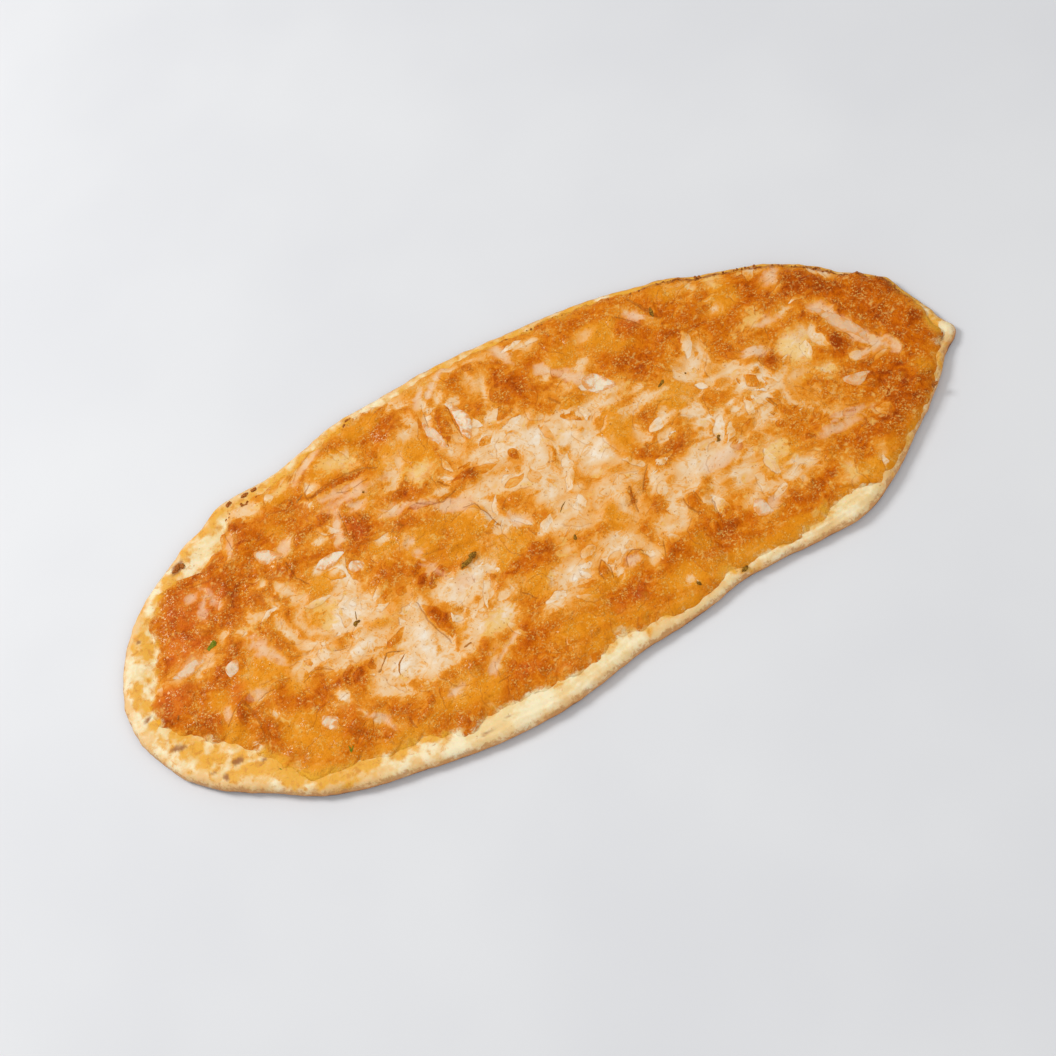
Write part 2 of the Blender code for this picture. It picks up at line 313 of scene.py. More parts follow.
# The bare rim's width up to the topping: angle and inset in millimetres.
BARE_RIM = (
    (0, 3.4), (5, 2.6), (11, 2.0), (20, 1.4), (29, 1.4), (36, 1.8), (46, 1.4),
    (54, 1.8), (61, 2.2), (66, 2.4), (73, 3.2), (82, 3.4), (90, 3.4), (101, 3.8),
    (106, 4.0), (111, 4.4), (119, 4.8), (126, 6.4), (130, 9.0), (134, 13.0),
    (138, 13.4), (144, 6.0), (148, 5.2), (153, 7.0), (159, 12.4), (169, 13.0),
    (175, 12.4), (181, 9.6), (187, 9.2), (194, 12.4), (200, 15.4), (205, 14.8),
    (209, 17.0), (214, 16.2), (218, 13.2), (223, 8.6), (229, 5.4), (233, 7.4),
    (236, 9.8), (240, 8.2), (243, 10.0), (248, 8.8), (251, 6.4), (254, 10.2),
    (259, 10.4), (263, 8.8), (267, 6.0), (270, 7.2), (273, 8.2), (277, 4.8),
    (280, 5.4), (284, 2.4), (288, 3.0), (291, 4.6), (294, 2.4), (297, 4.4),
    (300, 2.8), (303, 5.4), (306.5, 9.0), (309, 8.0), (313, 2.4), (317, 0.8),
    (326, 0.7), (334, 0.8), (341, 1.0), (345, 2.0), (349, 4.8), (355, 5.6),
    (360, 3.4),
)
# Ovals of yellow grease that has run onto the rim, places where the rim stays pale,
# and brown scorched spots: x, y, half length, half width (mm), turn (degrees).
GREASE = (
    (-145, -33, 9, 6, -35), (-152, -24, 5, 4, 20), (-132, -43, 9, 4, -30),
    (-125, -49, 7, 5, -20), (-162, -8, 3, 3, 30), (-112, -58, 9, 3.4, -15),
    (-96, -64, 10, 1.8, 5), (-156, 24, 4, 8, -15), (-140, -38, 9, 5, -35),
    (-66, -71, 5, 2.0, 0), (-75, -63, 7, 3.0, 0), (-154, -14, 4, 4, -40),
    (-160, -15, 2.5, 4, 0), (16, -68, 2, 1.2, 50), (-157, -20, 3, 3, 0),
    (-137, -26, 3, 2.6, 0), (-118, -56, 4, 2.4, -20), (-163, 4, 3, 9, 0),
    (-138, 46, 7, 3, 40), (-126, -43, 8, 4, -25), (-154, -25, 5, 4, -40),
    (100, 62, 30, 3, -22), (140, 42, 22, 3, -38), (162, 20, 8, 9, -50),
    (50, 73, 34, 2.5, -6), (-101, -61, 6, 3, -10), (165, -5, 3, 6, 0), (63, -61, 4, 2, 0),
    (80, -60, 5, 2, 0), (94, -56, 4, 2.4, 0), (53, -59, 3, 2, 0), (-126, 54, 15, 2, 33),
    (-80, 67, 15, 2, 8), (-52, 75, 7, 2, 20), (167, 5, 4, 11, 0),
)
PALE_RIM = (
    (-42, -72, 24, 5, 0), (-88, -71, 14, 2.4, -6), (8, -70, 16, 4, 4), (-15, -72, 12, 3, 0),
    (106, -58, 13, 6, 10), (169, -14, 3, 8, 0), (60, -64, 30, 3, 5), (-122, 51, 5, 2, 35),
    (-158, -11, 3, 5, 0), (-130, -53, 6, 1.4, -30),
)
SCORCHES = (
    (-137, -36.5, 2.2, 1.6, 10), (-143, -41, 0.9, 1.6, 0), (-156, -21, 3.0, 1.1, -10),
    (-156, 28, 0.9, 0.8, 0), (-150, 30.5, 1.2, 0.5, 60), (-132, 50, 3.6, 1.8, 35),
    (165, -12, 0.8, 1.8, 0), (-50, -72.5, 2.0, 0.3, 5), (-41, -71, 1.0, 0.3, 0),
    (-128, -41, 1.2, 0.8, 0), (-163, -4, 1.8, 0.7, 30), (-147, -37, 1.0, 0.6, 0),
)
# Colours of the dough's top, and then of its side and underside.
TAN_DOUGH = tint(243, 213, 150)
CREAM_DOUGH = tint(250, 234, 192)
PEACH_DOUGH = tint(238, 184, 112)
GOLDEN_DOUGH = tint(239, 171, 30)
BROWN_CRUMB = tint(216, 138, 34)
BROWN_EDGE = tint(190, 120, 52)
BROWN_FRECKLE = tint(196, 128, 56)
SCORCHED_DOUGH = tint(158, 92, 30)
TOASTED_SIDE = tint(212, 144, 76)
BAKED_FOOT = tint(112, 68, 38)
LIGHT_UNDERSIDE = tint(214, 164, 96)
DARK_UNDERSIDE = tint(112, 66, 34)


def swell(angle, table):
    total = np.zeros_like(angle)
    for centre, spread, share in table:
        off = (angle - centre + 180.0) % 360.0 - 180.0
        total += share * np.exp(-((off / spread) ** 2))
    return total


def smooth(low, high, value):
    share = np.clip((value - low) / (high - low), 0.0, 1.0)
    return share * share * (3.0 - 2.0 * share)


def inward(angle):
    """The direction into the bread at an angle of the outline."""
    turn = np.radians(angle)
    normal = np.stack([np.cos(turn) / HALF_LENGTH, np.sin(turn) / HALF_WIDTH], axis=-1)
    return -normal / np.linalg.norm(normal, axis=-1, keepdims=True)


def edge_point(angle, inset):
    """A place on the drawing, at an inset from the bread's edge."""
    turn = np.radians(angle)
    radius = 1.0 + swell(angle, SWELLS)
    x = HALF_LENGTH * np.cos(turn) * radius + OVAL_SHIFT
    y = HALF_WIDTH * (1.0 - EGG_TAPER * np.cos(turn)) * np.sin(turn) * radius
    return np.stack([x, y], axis=-1) + inward(angle) * np.asarray(inset)[..., None]


outline = edge_point(np.arange(720) * 0.5, np.zeros(720))
CENTRE = (outline.min(axis=0) + outline.max(axis=0)) / 2.0


def dough_top(angle, inset):
    """Height of the dough's upper face at an inset from its edge."""
    crown = RIM_CROWN * (1.0 + swell(angle, RIM_PUFFS))
    slope = BED_HEIGHT + crown * (1.0 - smooth(CROWN_INSET, RIM_REACH, inset))
    share = np.clip(1.0 - inset / EDGE_ROUNDING, 0.0, 1.0)
    edge = EDGE_HEIGHT + (BED_HEIGHT + crown - EDGE_HEIGHT) * np.sqrt(1.0 - share**2)
    return np.where(inset < CROWN_INSET, edge, slope)


def bare_rim(angle):
    """Width of the bare rim at an angle, eased between the named widths."""
    starts, widths = np.array(BARE_RIM).T
    angle = angle % 360.0
    index = np.clip(np.searchsorted(starts, angle, side="right") - 1, 0, len(starts) - 2)
    share = smooth(starts[index], starts[index + 1], angle)
    return widths[index] + (widths[index + 1] - widths[index]) * share


def ripple(places, wavelength, layer=0.0):
    """Soft noise over the drawing, with lumps about a wavelength across.  Each
    layer is another pattern of lumps, so its number only tells them apart."""
    rows = (places / wavelength).tolist()
    return np.array([noise.noise(Vector((x, y, layer))) for x, y in rows])


def ripples(places, waves, layer):
    """The sum of ripples: pairs of wavelength and height."""
    total = np.zeros(len(places))
    for step, (wavelength, height) in enumerate(waves):
        total += height * ripple(places, wavelength, layer + step)
    return total


def bent(places, waves, layer):
    """Places moved about by ripples, so that what is drawn there turns ragged."""
    sideways = ripples(places, waves, layer)
    upward = ripples(places, waves, layer + 10.0)
    return places + np.column_stack([sideways, upward])


def rotated(places, x, y, turn):
    """Places as seen along and across from a spot that is turned."""
    turn = math.radians(turn)
    dx = places[:, 0] - x
    dy = places[:, 1] - y
    along = dx * math.cos(turn) + dy * math.sin(turn)
    across = dy * math.cos(turn) - dx * math.sin(turn)
    return along, across


def oval_radius(places, x, y, half_length, half_width, turn):
    """0 at an oval's middle and 1 on its outline."""
    along, across = rotated(places, x, y, turn)
    return np.hypot(along / half_length, across / half_width)


def ovals(places, table):
    """How far places lie inside the nearest oval, in mm; less than 0 outside."""
    inside = np.full(len(places), FAR_OUTSIDE)
    for *spot, half_width, turn in table:
        radius = oval_radius(places, *spot, half_width, turn)
        inside = np.maximum(inside, (1.0 - radius) * half_width)
    return inside


def spans(places, table):
    """For each straight span of a table's paths: which side of it the places are
    on (left is above 0), their distance from it, and the path's width."""
    for *path, width in table:
        for (ax, ay), (bx, by) in zip(path, path[1:]):
            dx, dy = bx - ax, by - ay
            aside, above = places[:, 0] - ax, places[:, 1] - ay
            share = np.clip((aside * dx + above * dy) / (dx * dx + dy * dy), 0.0, 1.0)
            away = np.hypot(aside - share * dx, above - share * dy)
            yield dx * above - dy * aside, away, width


def strokes(places, table):
    """How far places lie inside the nearest stroke, each a path and its width."""
    inside = np.full(len(places), FAR_OUTSIDE)
    for _, away, width in spans(places, table):
        inside = np.maximum(inside, width / 2.0 - away)
    return inside


def carry(mesh, name, values):
    """Let a mesh carry a number for each of its corners, for its material."""
    attribute = mesh.attributes.new(name, "FLOAT", "POINT")
    attribute.data.foreach_set("value", values.astype(np.float32))


def corners(mesh):
    values = np.empty(len(mesh.vertices) * 3)
    mesh.vertices.foreach_get("co", values)
    return values.reshape(-1, 3)


def set_corners(mesh, places, heights):
    """Move a mesh's corners to places on the drawing, at heights in mm."""
    final = np.column_stack([places - CENTRE, heights]) * MM
    mesh.vertices.foreach_set("co", final.ravel())
    mesh.update()


def extrude_level(shape, ring, level):
    """Extrude a ring of edges and mark the new corners' level as their z."""
    grown = bmesh.ops.extrude_edge_only(shape, edges=ring)["geom"]
    verts = {item for item in grown if isinstance(item, bmesh.types.BMVert)}
    for vert in verts:
        vert.co.z = level
    edges = [item for item in grown if isinstance(item, bmesh.types.BMEdge)]
    return [edge for edge in edges if verts.issuperset(edge.verts)]


def carry_dough(mesh, place, edge, bare):
    """What the dough's colours need: mm from its edge and from the topping."""
    carry(mesh, "edge", edge)
    carry(mesh, "bare", np.clip(bare, -BARE_REACH, BARE_REACH))
    loose = bent(place, STAIN_RIPPLES, 30.0)
    pale = smooth(-2.0, 2.0, ovals(loose, PALE_RIM))
    carry(mesh, "grease", smooth(-3.0, 2.4, ovals(loose, GREASE)) - pale)
    burn = ovals(bent(place, SCORCH_RIPPLES, 40.0), SCORCHES)
    carry(mesh, "scorch", smooth(-0.5, 0.5, burn))


def make_bread_mesh():
    shape = bmesh.new()
    bmesh.ops.create_circle(shape, segments=BREAD_SECTORS, radius=1.0, cap_ends=True)
    side_levels = len(SIDE_RINGS) - 1
    ring = list(shape.edges)
    for level in range(1, side_levels + BREAD_TOP_RINGS + 1):
        ring = extrude_level(shape, ring, level)
    bmesh.ops.edgeloop_fill(shape, edges=ring)
    mesh = to_mesh("bread", shape)

    marks = corners(mesh)
    angle = np.degrees(np.arctan2(marks[:, 1], marks[:, 0]))
    level = marks[:, 2].round().astype(int)
    top = np.maximum(level - side_levels, 0) / BREAD_TOP_RINGS
    inset = BREAD_TOP_REACH * top**RING_CROWDING
    height = dough_top(angle, inset)
    for step, (side_inset, side_height) in enumerate(SIDE_RINGS):
        inset = np.where(level == step, side_inset, inset)
        height = np.where(level == step, side_height, height)
    place = edge_point(angle, inset)
    soft = smooth(1.0, side_levels + 1.0, level)
    ragged = ripples(place, EDGE_RIPPLES, 3.0) * soft * smooth(6.0, 1.0, inset)
    place += inward(angle) * ragged[:, None]
    blister = ripples(place, BLISTERS, 5.0) * smooth(BREAD_TOP_REACH, 20.0, inset)
    flap = smooth(FLAP_START, FLAP_END, place[:, 0]) * smooth(14.0, 6.0, inset)
    fold = np.sin(inset * FOLD_PACE + 5.0 * ripple(place, 14.0, 8.0))
    fold *= smooth(0.6, 2.6, inset)
    height += FOLD_HEIGHT * swell(angle, FOLDS) * fold * soft
    height += (blister - FLAP_DROP * flap) * soft
    carry_dough(mesh, place, inset, bare_rim(angle) - inset)
    set_corners(mesh, place, height)
    mesh.shade_smooth()
    mesh.set_sharp_from_angle(angle=math.radians(50.0))
    return mesh


def dough_grains(start):
    """The dough's soft noises: broad, fine and crumbly."""
    return start.grain(9.0, 3.0), start.grain(1.6, 3.0, 0.6), start.grain(3.0, 4.0, 0.7, 0.6)


def dough_colour(start, broad, fine, crumb):
    """Cream dough, peach to its edge, golden and crumbly near the topping."""
    edge = start.value("edge")
    grease = start.value("grease")
    pale = (broad + fine * 0.5).step(-0.15, 0.18)
    colour = pale.tinted(TAN_DOUGH, CREAM_DOUGH)
    peach = 1 - (edge + broad * 18.0 + fine * 4.0).step(0.0, 6.0)
    spared = (0 - grease).step(0.0, 1.0) * 0.5
    colour = (peach * (0.75 - spared)).tinted(colour, PEACH_DOUGH)
    close = 1 - (start.value("bare") + broad * 26.0 + crumb * 8.0).step(-0.5, 6.0)
    golden = grease * 1.1 + close * 0.6 + crumb * 1.6
    golden = (golden + start.grain(6.0, 2.0) * 2.8).step(0.15, 1.3)
    colour = (golden * 0.95).tinted(colour, GOLDEN_DOUGH)
    crumbly = crumb.step(0.02, 0.14) * (golden * 0.6 + 0.06)
    colour = crumbly.tinted(colour, BROWN_CRUMB)
    outermost = 1 - (edge + crumb * 6.0 + fine * 3.0).step(-0.2, 1.2)
    colour = (outermost * 0.65).tinted(colour, BROWN_EDGE)
    freckle = start.grain(2.0, 2.0, 0.6).step(0.17, 0.27) * 0.6
    colour = freckle.tinted(colour, BROWN_FRECKLE)
    return (start.value("scorch") * 0.9).tinted(colour, SCORCHED_DOUGH)


def make_bread_material():
    fixed = {"Roughness": 0.62, "Subsurface Weight": 0.12, "Subsurface Scale": 0.002}
    material, start = start_material("baked dough", fixed)
    broad, fine, crumb = dough_grains(start)
    colour = dough_colour(start, broad, fine, crumb)
    height = start.node("ShaderNodeSeparateXYZ", None, {0: start.place()}, "Z")
    high = height * (1.0 / MM) + broad * 2.6 + fine * 1.2
    toasted = 1 - high.step(1.9, 3.8)
    colour = toasted.tinted(colour, TOASTED_SIDE)
    foot = 1 - high.step(1.2, 2.4)
    colour = foot.tinted(colour, BAKED_FOOT)
    patches = start.grain(13.0, 4.0, 0.65).step(0.02, 0.14)
    flat = 1 - height.step(0.05 * MM, 0.25 * MM)
    colour = flat.tinted(colour, patches.tinted(LIGHT_UNDERSIDE, DARK_UNDERSIDE))
    feed(material, {"Base Color": colour}, fine * 0.7 + broad * 0.5, 0.35)
    return material


bread = new_piece("bread", make_bread_mesh(), make_bread_material())
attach(bread, "root")
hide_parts("dough")


# ---- Cheese topping --------------------------------------------------------------
# One baked sheet of melted cheese: granular orange crust with glints painted in as
# pale highlights, smooth cream pools between the crusts, amber and rust patches, and
# melted shreds.  Made as a fine grid laid over the bread in nested rings, raised and
# coloured by the patches named here.

GAP = 0.4
TOPPING_THICKNESS = 2.1
TOPPING_SINK = 0.2
# The lip thins out over its reach, but nowhere below the least cover of cheese, and
# it stays the least inset inside the bread's edge.
LIP_REACH = 9.0
LEAST_COVER = 0.7
LEAST_INSET = 0.2
BED_LEVEL = BED_HEIGHT + GAP + TOPPING_THICKNESS
TOPPING_COLUMNS = 428
TOPPING_ROWS = 214
# Rings that close the sheet underneath, at shares of the way in to the bed.
UNDER_RINGS = (0.0, 0.4, 1.0)
UNDER_CLEARANCE = 0.1
# Ripples of the lip, of what lies loosely or tightly in its place, of shreds, of
# creases and of the crust's lumps.
LIP_RIPPLES = ((6.0, 1.5), (2.4, 0.9))
LOOSE_RIPPLES = ((9.0, 2.2), (4.2, 1.1), (2.1, 0.35))
TIGHT_RIPPLES = ((5.0, 0.9), (2.6, 0.6))
SHRED_RIPPLES = ((4.0, 1.0), (2.0, 0.5))
CREASE_RIPPLES = ((3.0, 0.5),)
CRUST_RIPPLES = ((4.4, 0.32), (2.3, 0.24))
# How much crust, thick white bits, shreds and charred cheese stand up, how deep
# creases are, and the low ripples in pools.
CRUST_RISE = 0.35
WHITE_RISE = 0.16
SHRED_RISE = 0.40
CHAR_RISE = 0.5
CREASE_DEPTH = 0.35
POOL_RIPPLE = 0.12
# How far from their edges pools, smaller patches and creases are told apart.
POOL_REACH = 8.0
PATCH_REACH = 4.0
LINE_REACH = 4.0
# Smooth pools that sink and crusted curls that stand up, as on the solid: x, y,
# half length, half width (mm), turn (degrees).
POOLS = (
    (6, 12, 42, 22, 8), (-80, 4, 24, 22, 30), (-60, -25, 24, 13, 12),
    (82, 20, 13, 20, -10), (114, 16, 13, 12, 20), (92, -28, 22, 11, 10),
    (2, -31, 22, 8, 10), (-34, 48, 13, 11, 0), (-52, 60, 12, 7, 5),
)
POOL_DEPTH = 0.45
CURLS = (
    (-14, 26, 16, 3.5, 3), (-17, 8, 11, 3.5, -62), (-130, -21, 11, 4, 60),
    (-120, -30, 12, 3.5, -72), (-30, -7, 8, 3.0, 24), (60, -23, 10, 4, 70),
    (-52, 44, 14, 4, 20), (100, 14, 9, 4, 60), (30, -13, 11, 3.5, 15),
    (-88, -46, 14, 5, 8), (44, -42, 16, 6, 4), (108, -26, 12, 5, 12),
    (70, 50, 12, 6, -18), (128, 40, 14, 5, -35), (-108, 44, 14, 6, 25),
)
CURL_HEIGHT = 0.9
LUMPS = ((18.0, 0.6), (9.5, 0.7))
# Grated shreds are strewn by chance: how many, from corner to corner of what field,
# the least and the largest half length and half width, and the sharpest bend.  Then
# a shred's outline, and how far round it the cheese still belongs to it.
SHREDS = 640
SHRED_FIELD = ((-165.0, -76.0), (168.0, 80.0))
SHRED_SIZES = ((2.4, 0.9), (7.4, 2.8))
SHRED_BEND = 0.22
SHRED_POWER = 1.4
SHRED_HALO = 1.3
SHRED_REACH = 3.0
# Flakes that stand out: x, y, half length, half width, turn, bend and tone (1 is
# browned, -1 pale).
FLAKES = (
    (-12.5, 26.6, 10, 2.2, -8, 0.0, 0.9), (-22, 8, 8.5, 6, -20, 0.05, -0.6),
    (13.5, -36, 5, 1.9, 86, 0.1, 0.6), (54.3, -28, 5.2, 2.3, 88, 0.1, 0.6),
    (-97, -20, 6, 2.0, -20, 0.1, 0.3), (-61, 50.6, 13, 1.7, -2, 0.08, 1.0),
    (-48, -23, 9.5, 2.6, -72, 0.12, 0.6), (-29, -7, 5, 2.0, 24, 0.0, 0.4),
    (34.5, -29, 6, 2.2, 86, 0.1, 0.3), (42, -23, 5.5, 2.0, 0, 0.15, 0.4),
    (35.5, -14, 5, 1.1, 82, 0.0, 0.9), (43, -10.5, 5.5, 1.1, 60, 0.1, 0.8),
    (-9, -29, 6, 3.4, -30, 0.0, 0.0), (4, 26, 3.6, 1.8, 100, 0.0, 0.6),
    (-127, -20, 7, 2.6, 62, 0.1, 1.0), (-122, -30, 9, 3.0, -72, 0.05, 0.2),
    (-2, 8, 7, 3.6, 8, 0.0, 0.2), (25, -35, 5, 1.8, 10, 0.3, 0.5),
    (-36, 24, 6, 1.4, -18, 0.1, 0.9), (-70, 66, 9, 2.2, 36, 0.05, -0.2),
    (33, 35, 6, 2.0, 4, 0.1, 0.7), (106, 12, 6, 3.2, 78, 0.1, 0.4),
    (131, 5, 5, 2.2, 80, 0.0, 0.8), (-15, 52, 6, 2.4, 100, 0.1, 0.7),
    (100, -8, 7, 1.8, -70, 0.12, 0.8), (112, -10, 8, 1.6, -64, 0.12, 0.3),
    (24, 13, 2.4, 5, 0, 0.0, 0.4), (41, 14, 9, 4.6, 82, 0.05, -0.2),
    (86, -10, 5, 2.2, 25, 0.1, 0.4), (-66, -22, 5.4, 1.8, 27, 0.0, 0.7),
)
# Cream pools of melted cheese: ovals as above.
CREAM = (
    (-141, 7, 8.8, 2.6, 8), (-137, 3, 3, 1.6, 20), (-41, -38, 4.4, 3, 0),
    (-125.5, 11.5, 2, 2, 0), (-111, 14, 3.4, 2.0, 10), (-103, 14, 3.4, 1.2, 95),
    (-102, 3, 6, 2.0, -68), (-93, 12, 3, 2.4, 0), (-78, -3, 11, 8, 0),
    (-76, 5, 8, 5, 20), (-72, -8, 9, 5, -20), (-74, 10, 4.5, 3.4, 20),
    (-76, 16, 5.5, 3.6, 10), (-77, -39.5, 6, 3.4, -20), (-52, -39, 7, 4.4, -10),
    (-103, -17, 3.4, 1.7, -80), (-80, -19, 10, 5.4, 0), (-57, -24, 17, 5.6, 84),
    (-71, -34, 9.5, 7.5, 0), (-60, -38, 7, 4.6, 0), (-71, -42, 4.4, 2.8, -35),
    (-40, -14, 6, 6, 0), (-33, -20, 9, 8, 0), (-36, -33, 7, 4, 0),
    (-27, -34, 6.5, 4.6, 0), (-29, -12, 6, 5, 0), (-22, -27, 4.4, 3, 20),
    (-37, -27, 5, 2.8, 0), (-45, -12, 2.4, 2.4, 0), (-61, -18, 3.4, 4, 0),
    (-50, -33, 3, 6, 0), (-22, -12, 3, 3, 0), (-13, 47, 2.4, 7, 8),
    (-100, 60, 6, 4.0, -35), (-42, 42, 5.4, 2.6, 75), (-37, 46, 4, 1.6, 60),
    (-44, 37, 2.4, 1.8, 0), (-25, 60, 5, 2.4, -60), (-14.5, 40, 4.6, 2.4, 110),
    (-5, 43, 3.4, 2.2, 20), (-12, 65, 3, 2, 60), (-20, 65, 3, 2.4, 60),
    (-31, 75, 6, 2, -25), (-9, 18, 13, 4.8, -5), (3, 31, 9, 9, 0), (-6, 27, 7, 4.4, 0),
    (-8, 32.5, 7, 3.6, 0), (9, 38, 5, 4, 0), (-4, 75, 4, 2, 0), (-3, 38, 4.4, 3, 0),
    (16, 24, 14, 10, 0), (10, 14, 14, 9, 0), (30, 24, 11, 9, 0), (25, 12, 9, 10, 0),
    (34, 8, 7, 9, 0), (43, 28, 6, 1.8, 0), (48, 33, 4, 2, 0), (57, 21, 9, 3.2, 5),
    (4, 45, 5, 3.0, 0), (5.5, 59, 7, 1.5, 88), (-14, -1, 3, 3, 0),
    (2, 66, 5, 1.4, 80), (8, 73, 6, 1.4, -8), (80, 25, 7, 3.4, 80), (17.4, -37, 2.6, 6, 0),
    (61, 10, 5, 3, 30), (71, 8, 5, 4.4, 0), (76, 1, 5, 4, 20), (36, -22, 6, 1.8, 0),
    (56, 2, 3.6, 2.6, 0), (85, 28, 2, 4, 0), (85, 3, 3, 2, 0), (98, 44, 3, 2, 0),
    (-29, 57, 5, 2.6, 0), (-21, 57, 4, 2, 60), (-27, 70, 5, 1.8, -20), (120, 28, 3, 2, 0),
    (-9, 60, 3, 2.4, 0), (50, 59, 4, 2, 0), (3, -36, 5, 2, 0), (141, 36, 2, 4, 20),
    (-32, -28, 3, 2, 0), (-27, 26, 3, 2, 0), (-16, 40, 1.6, 4, 0), (8, 45, 3, 2, 0),
    (33, 43, 4, 2, 0), (-74, 13, 5, 3, 0), (-68, -15, 5, 3, 0), (-64, -27, 4, 5, 0),
    (20, -14, 6, 3, 0), (8, -16, 4, 3, 0), (30, -3, 4, 3, 0), (32, -39, 3.4, 4, 0),
    (0, 14, 5, 4, 0), (-61, -20, 3, 3, 0), (-6, -41, 5, 2, 0), (-98, -16, 4, 2.6, 0),
    (-57, -42, 4, 2, 0), (-75, -23, 5, 2.4, 0), (-72, 55, 2, 4, 0),
    (50, 9, 3, 5, 0), (77, 15, 3.0, 3.4, 0), (75, 24, 3, 4, 0), (86, 14, 6, 3.8, 0),
    (92, 15, 6, 3.6, -20), (98, 6, 9, 8, 0), (75, -4, 6.5, 3, 10), (98, -1, 2, 4, 0),
    (65, -14, 17, 7, 0), (45, -11, 4.4, 4.4, 0), (40, -6, 8, 4, -10),
    (11, 3, 8, 5, 0), (13, -14, 9, 5, 0), (28, -8, 7, 6, 0), (34, -13, 5, 8, 0),
    (44, -32, 7, 4.4, 0), (50, -28, 3, 4, 0), (61, -30, 4.4, 2.2, 0), (140, 40, 3, 2, -40),
    (122, 51, 4.4, 1.6, -35), (74, -27, 11, 6, -10), (81, -36, 7, 3.4, -20),
    (75, -38, 4, 2.4, 0), (91, -36, 4, 4, 0), (126, 12, 2.4, 6, 0), (42, 48, 4, 2.4, 30),
    (27, 68, 4, 2.4, 0), (22, -30, 11, 6.5, 0), (3, -31, 7.5, 6.4, 0), (-2, -40, 6, 3, 5),
    (6, -21, 3, 2, 0), (29, 50, 4, 2.4, 0), (112, 1, 4, 1.8, 0), (5, -10, 8, 3.2, 0),
    (26, -4, 6, 4, -10), (14, -6, 8, 5, 0), (93, -9, 8, 3.8, 10), (96, -13, 2.6, 2.0, 0),
    (97, -34, 6, 3.4, -25), (94, -40, 2.6, 1.8, 60), (39, -55, 2, 1.4, 70),
    (54, -18, 10, 5, 10), (45, -18, 4, 6, 0),
)
# Whiter, thicker bits of cheese.
WHITE = (
    (-118, 10, 2.6, 1.7, -30), (-69, 13.5, 3, 2.2, -10), (-104, 25, 1.6, 1.0, 20),
    (-77.5, 30.5, 2.4, 1.6, 0), (-55, 19.5, 3.2, 2.4, 30), (-23, 30, 3.2, 1.6, -30),
    (-117.5, -27, 1.7, 1.2, -60), (-92, -34, 2.8, 2.0, -60), (57, 27, 2.0, 1.5, 0),
    (121, 16, 2.6, 1.8, 80), (47, -26, 5.4, 2.6, 85), (17, -5, 5.4, 1.8, 75), (33, 8, 5, 5, 0),
    (28, 3, 4, 2.4, 20), (6, -32, 4.4, 2.6, 0), (-56, -30, 8, 3.4, 84),
    (-66, -33, 5, 3.4, 20), (12, 30, 5, 4, 0), (-80, -6, 6, 4, 0),
    (5, -10, 6, 2.2, 0), (24, 22, 3.4, 2.6, 30), (95, -32, 4, 2.2, -20),
    (-75, 12.6, 5, 2.0, 0), (-53, -14, 3.4, 3, 80), (75, -15, 6, 2.4, 10),
    (-3, 15, 6, 2, 0), (38, -7, 4, 2, 0), (-75, 16, 4, 2.4, 0), (5, 30, 4, 3, 0),
    (20, 0, 3, 2, 0), (72, 1, 4, 2, 0), (44, -33, 4, 2, 0), (-79, -19, 5, 2.4, 0),
    (0, 14, 5, 3, 0), (-82, 20, 2.4, 2, 0), (-62, -20, 3, 2, 0), (-4, 37, 3, 2, 0),
)
# Pinkish or lilac bits, where the cheese is thin and glassy.
PINK = (
    (-91, 35, 2.8, 1.5, 50), (-113, 0, 5.2, 2.2, -60), (-109, -6, 4, 1.8, -65),
    (-121, -17, 2.4, 1.4, 0), (-134, -19, 1.4, 0.6, 80), (-128, 28, 3.4, 1.4, 75),
    (-123, 29, 2.2, 1.1, -70), (-131, 34, 2.6, 1.5, 20), (112, 28, 3.6, 1.2, -10),
    (114, -27.5, 6, 1.2, 0), (-110, 47, 2.4, 1.0, 80), (-69, 33, 5.4, 1.7, 80),
    (-46, 28, 3.6, 1.7, -12), (-46, 12, 2, 1.2, 70), (-45, 7, 1.8, 1.3, 0),
    (-56, 42.5, 8, 1.3, 2), (-59, 37, 2.8, 1.7, 0), (-62, 46.5, 7, 1.2, -5),
    (-70, 66, 7.4, 1.5, 38), (-42, -4, 3.4, 1.2, -60), (-24, 18, 6, 2.6, -12),
    (-35, 24, 4, 1.2, -20), (17, 71, 5.4, 2.3, 110), (70, 57, 3.6, 1.5, -50),
    (102, 18, 3.8, 2.2, -8), (138, -4, 3.4, 1.7, 0), (120, -24, 4.4, 1.4, -5),
    (80, -43, 3.6, 1.6, 30), (-38, -51, 3, 0.6, 60), (148, -8, 1.4, 2.4, 0),
    (123, 45, 3.8, 2.6, 60), (25, -38, 3.4, 1.8, 10), (-6, 0, 4, 2, -40), (70, -17, 8, 3, 5),
    (-54, -52, 3, 1.4, 20), (-82, -50, 3.6, 0.9, -50), (-34, -14, 4, 3, 0),
)
# Butter-yellow cream.
BUTTER = (
    (-59, 59, 6, 4.0, -20), (-53, 57, 3, 1.8, -30), (-85, 60, 5, 1.6, 10),
    (95, 57, 2.4, 1.7, 60), (103, 56, 2.2, 1.5, 80), (108, 32, 3.4, 1.6, 10),
    (-32, 38, 5, 3.4, 0), (111, -48, 3, 1.4, 0), (116, 12, 5.4, 7, 0),
    (123, -3, 2.6, 2.4, 0), (90, -23, 4.4, 4, 0), (110, -44, 3, 1.4, 80),
    (123, -45, 2.4, 1.6, 70), (-86, 2, 4, 6, 0), (-30, -36, 5, 3, 0),
)
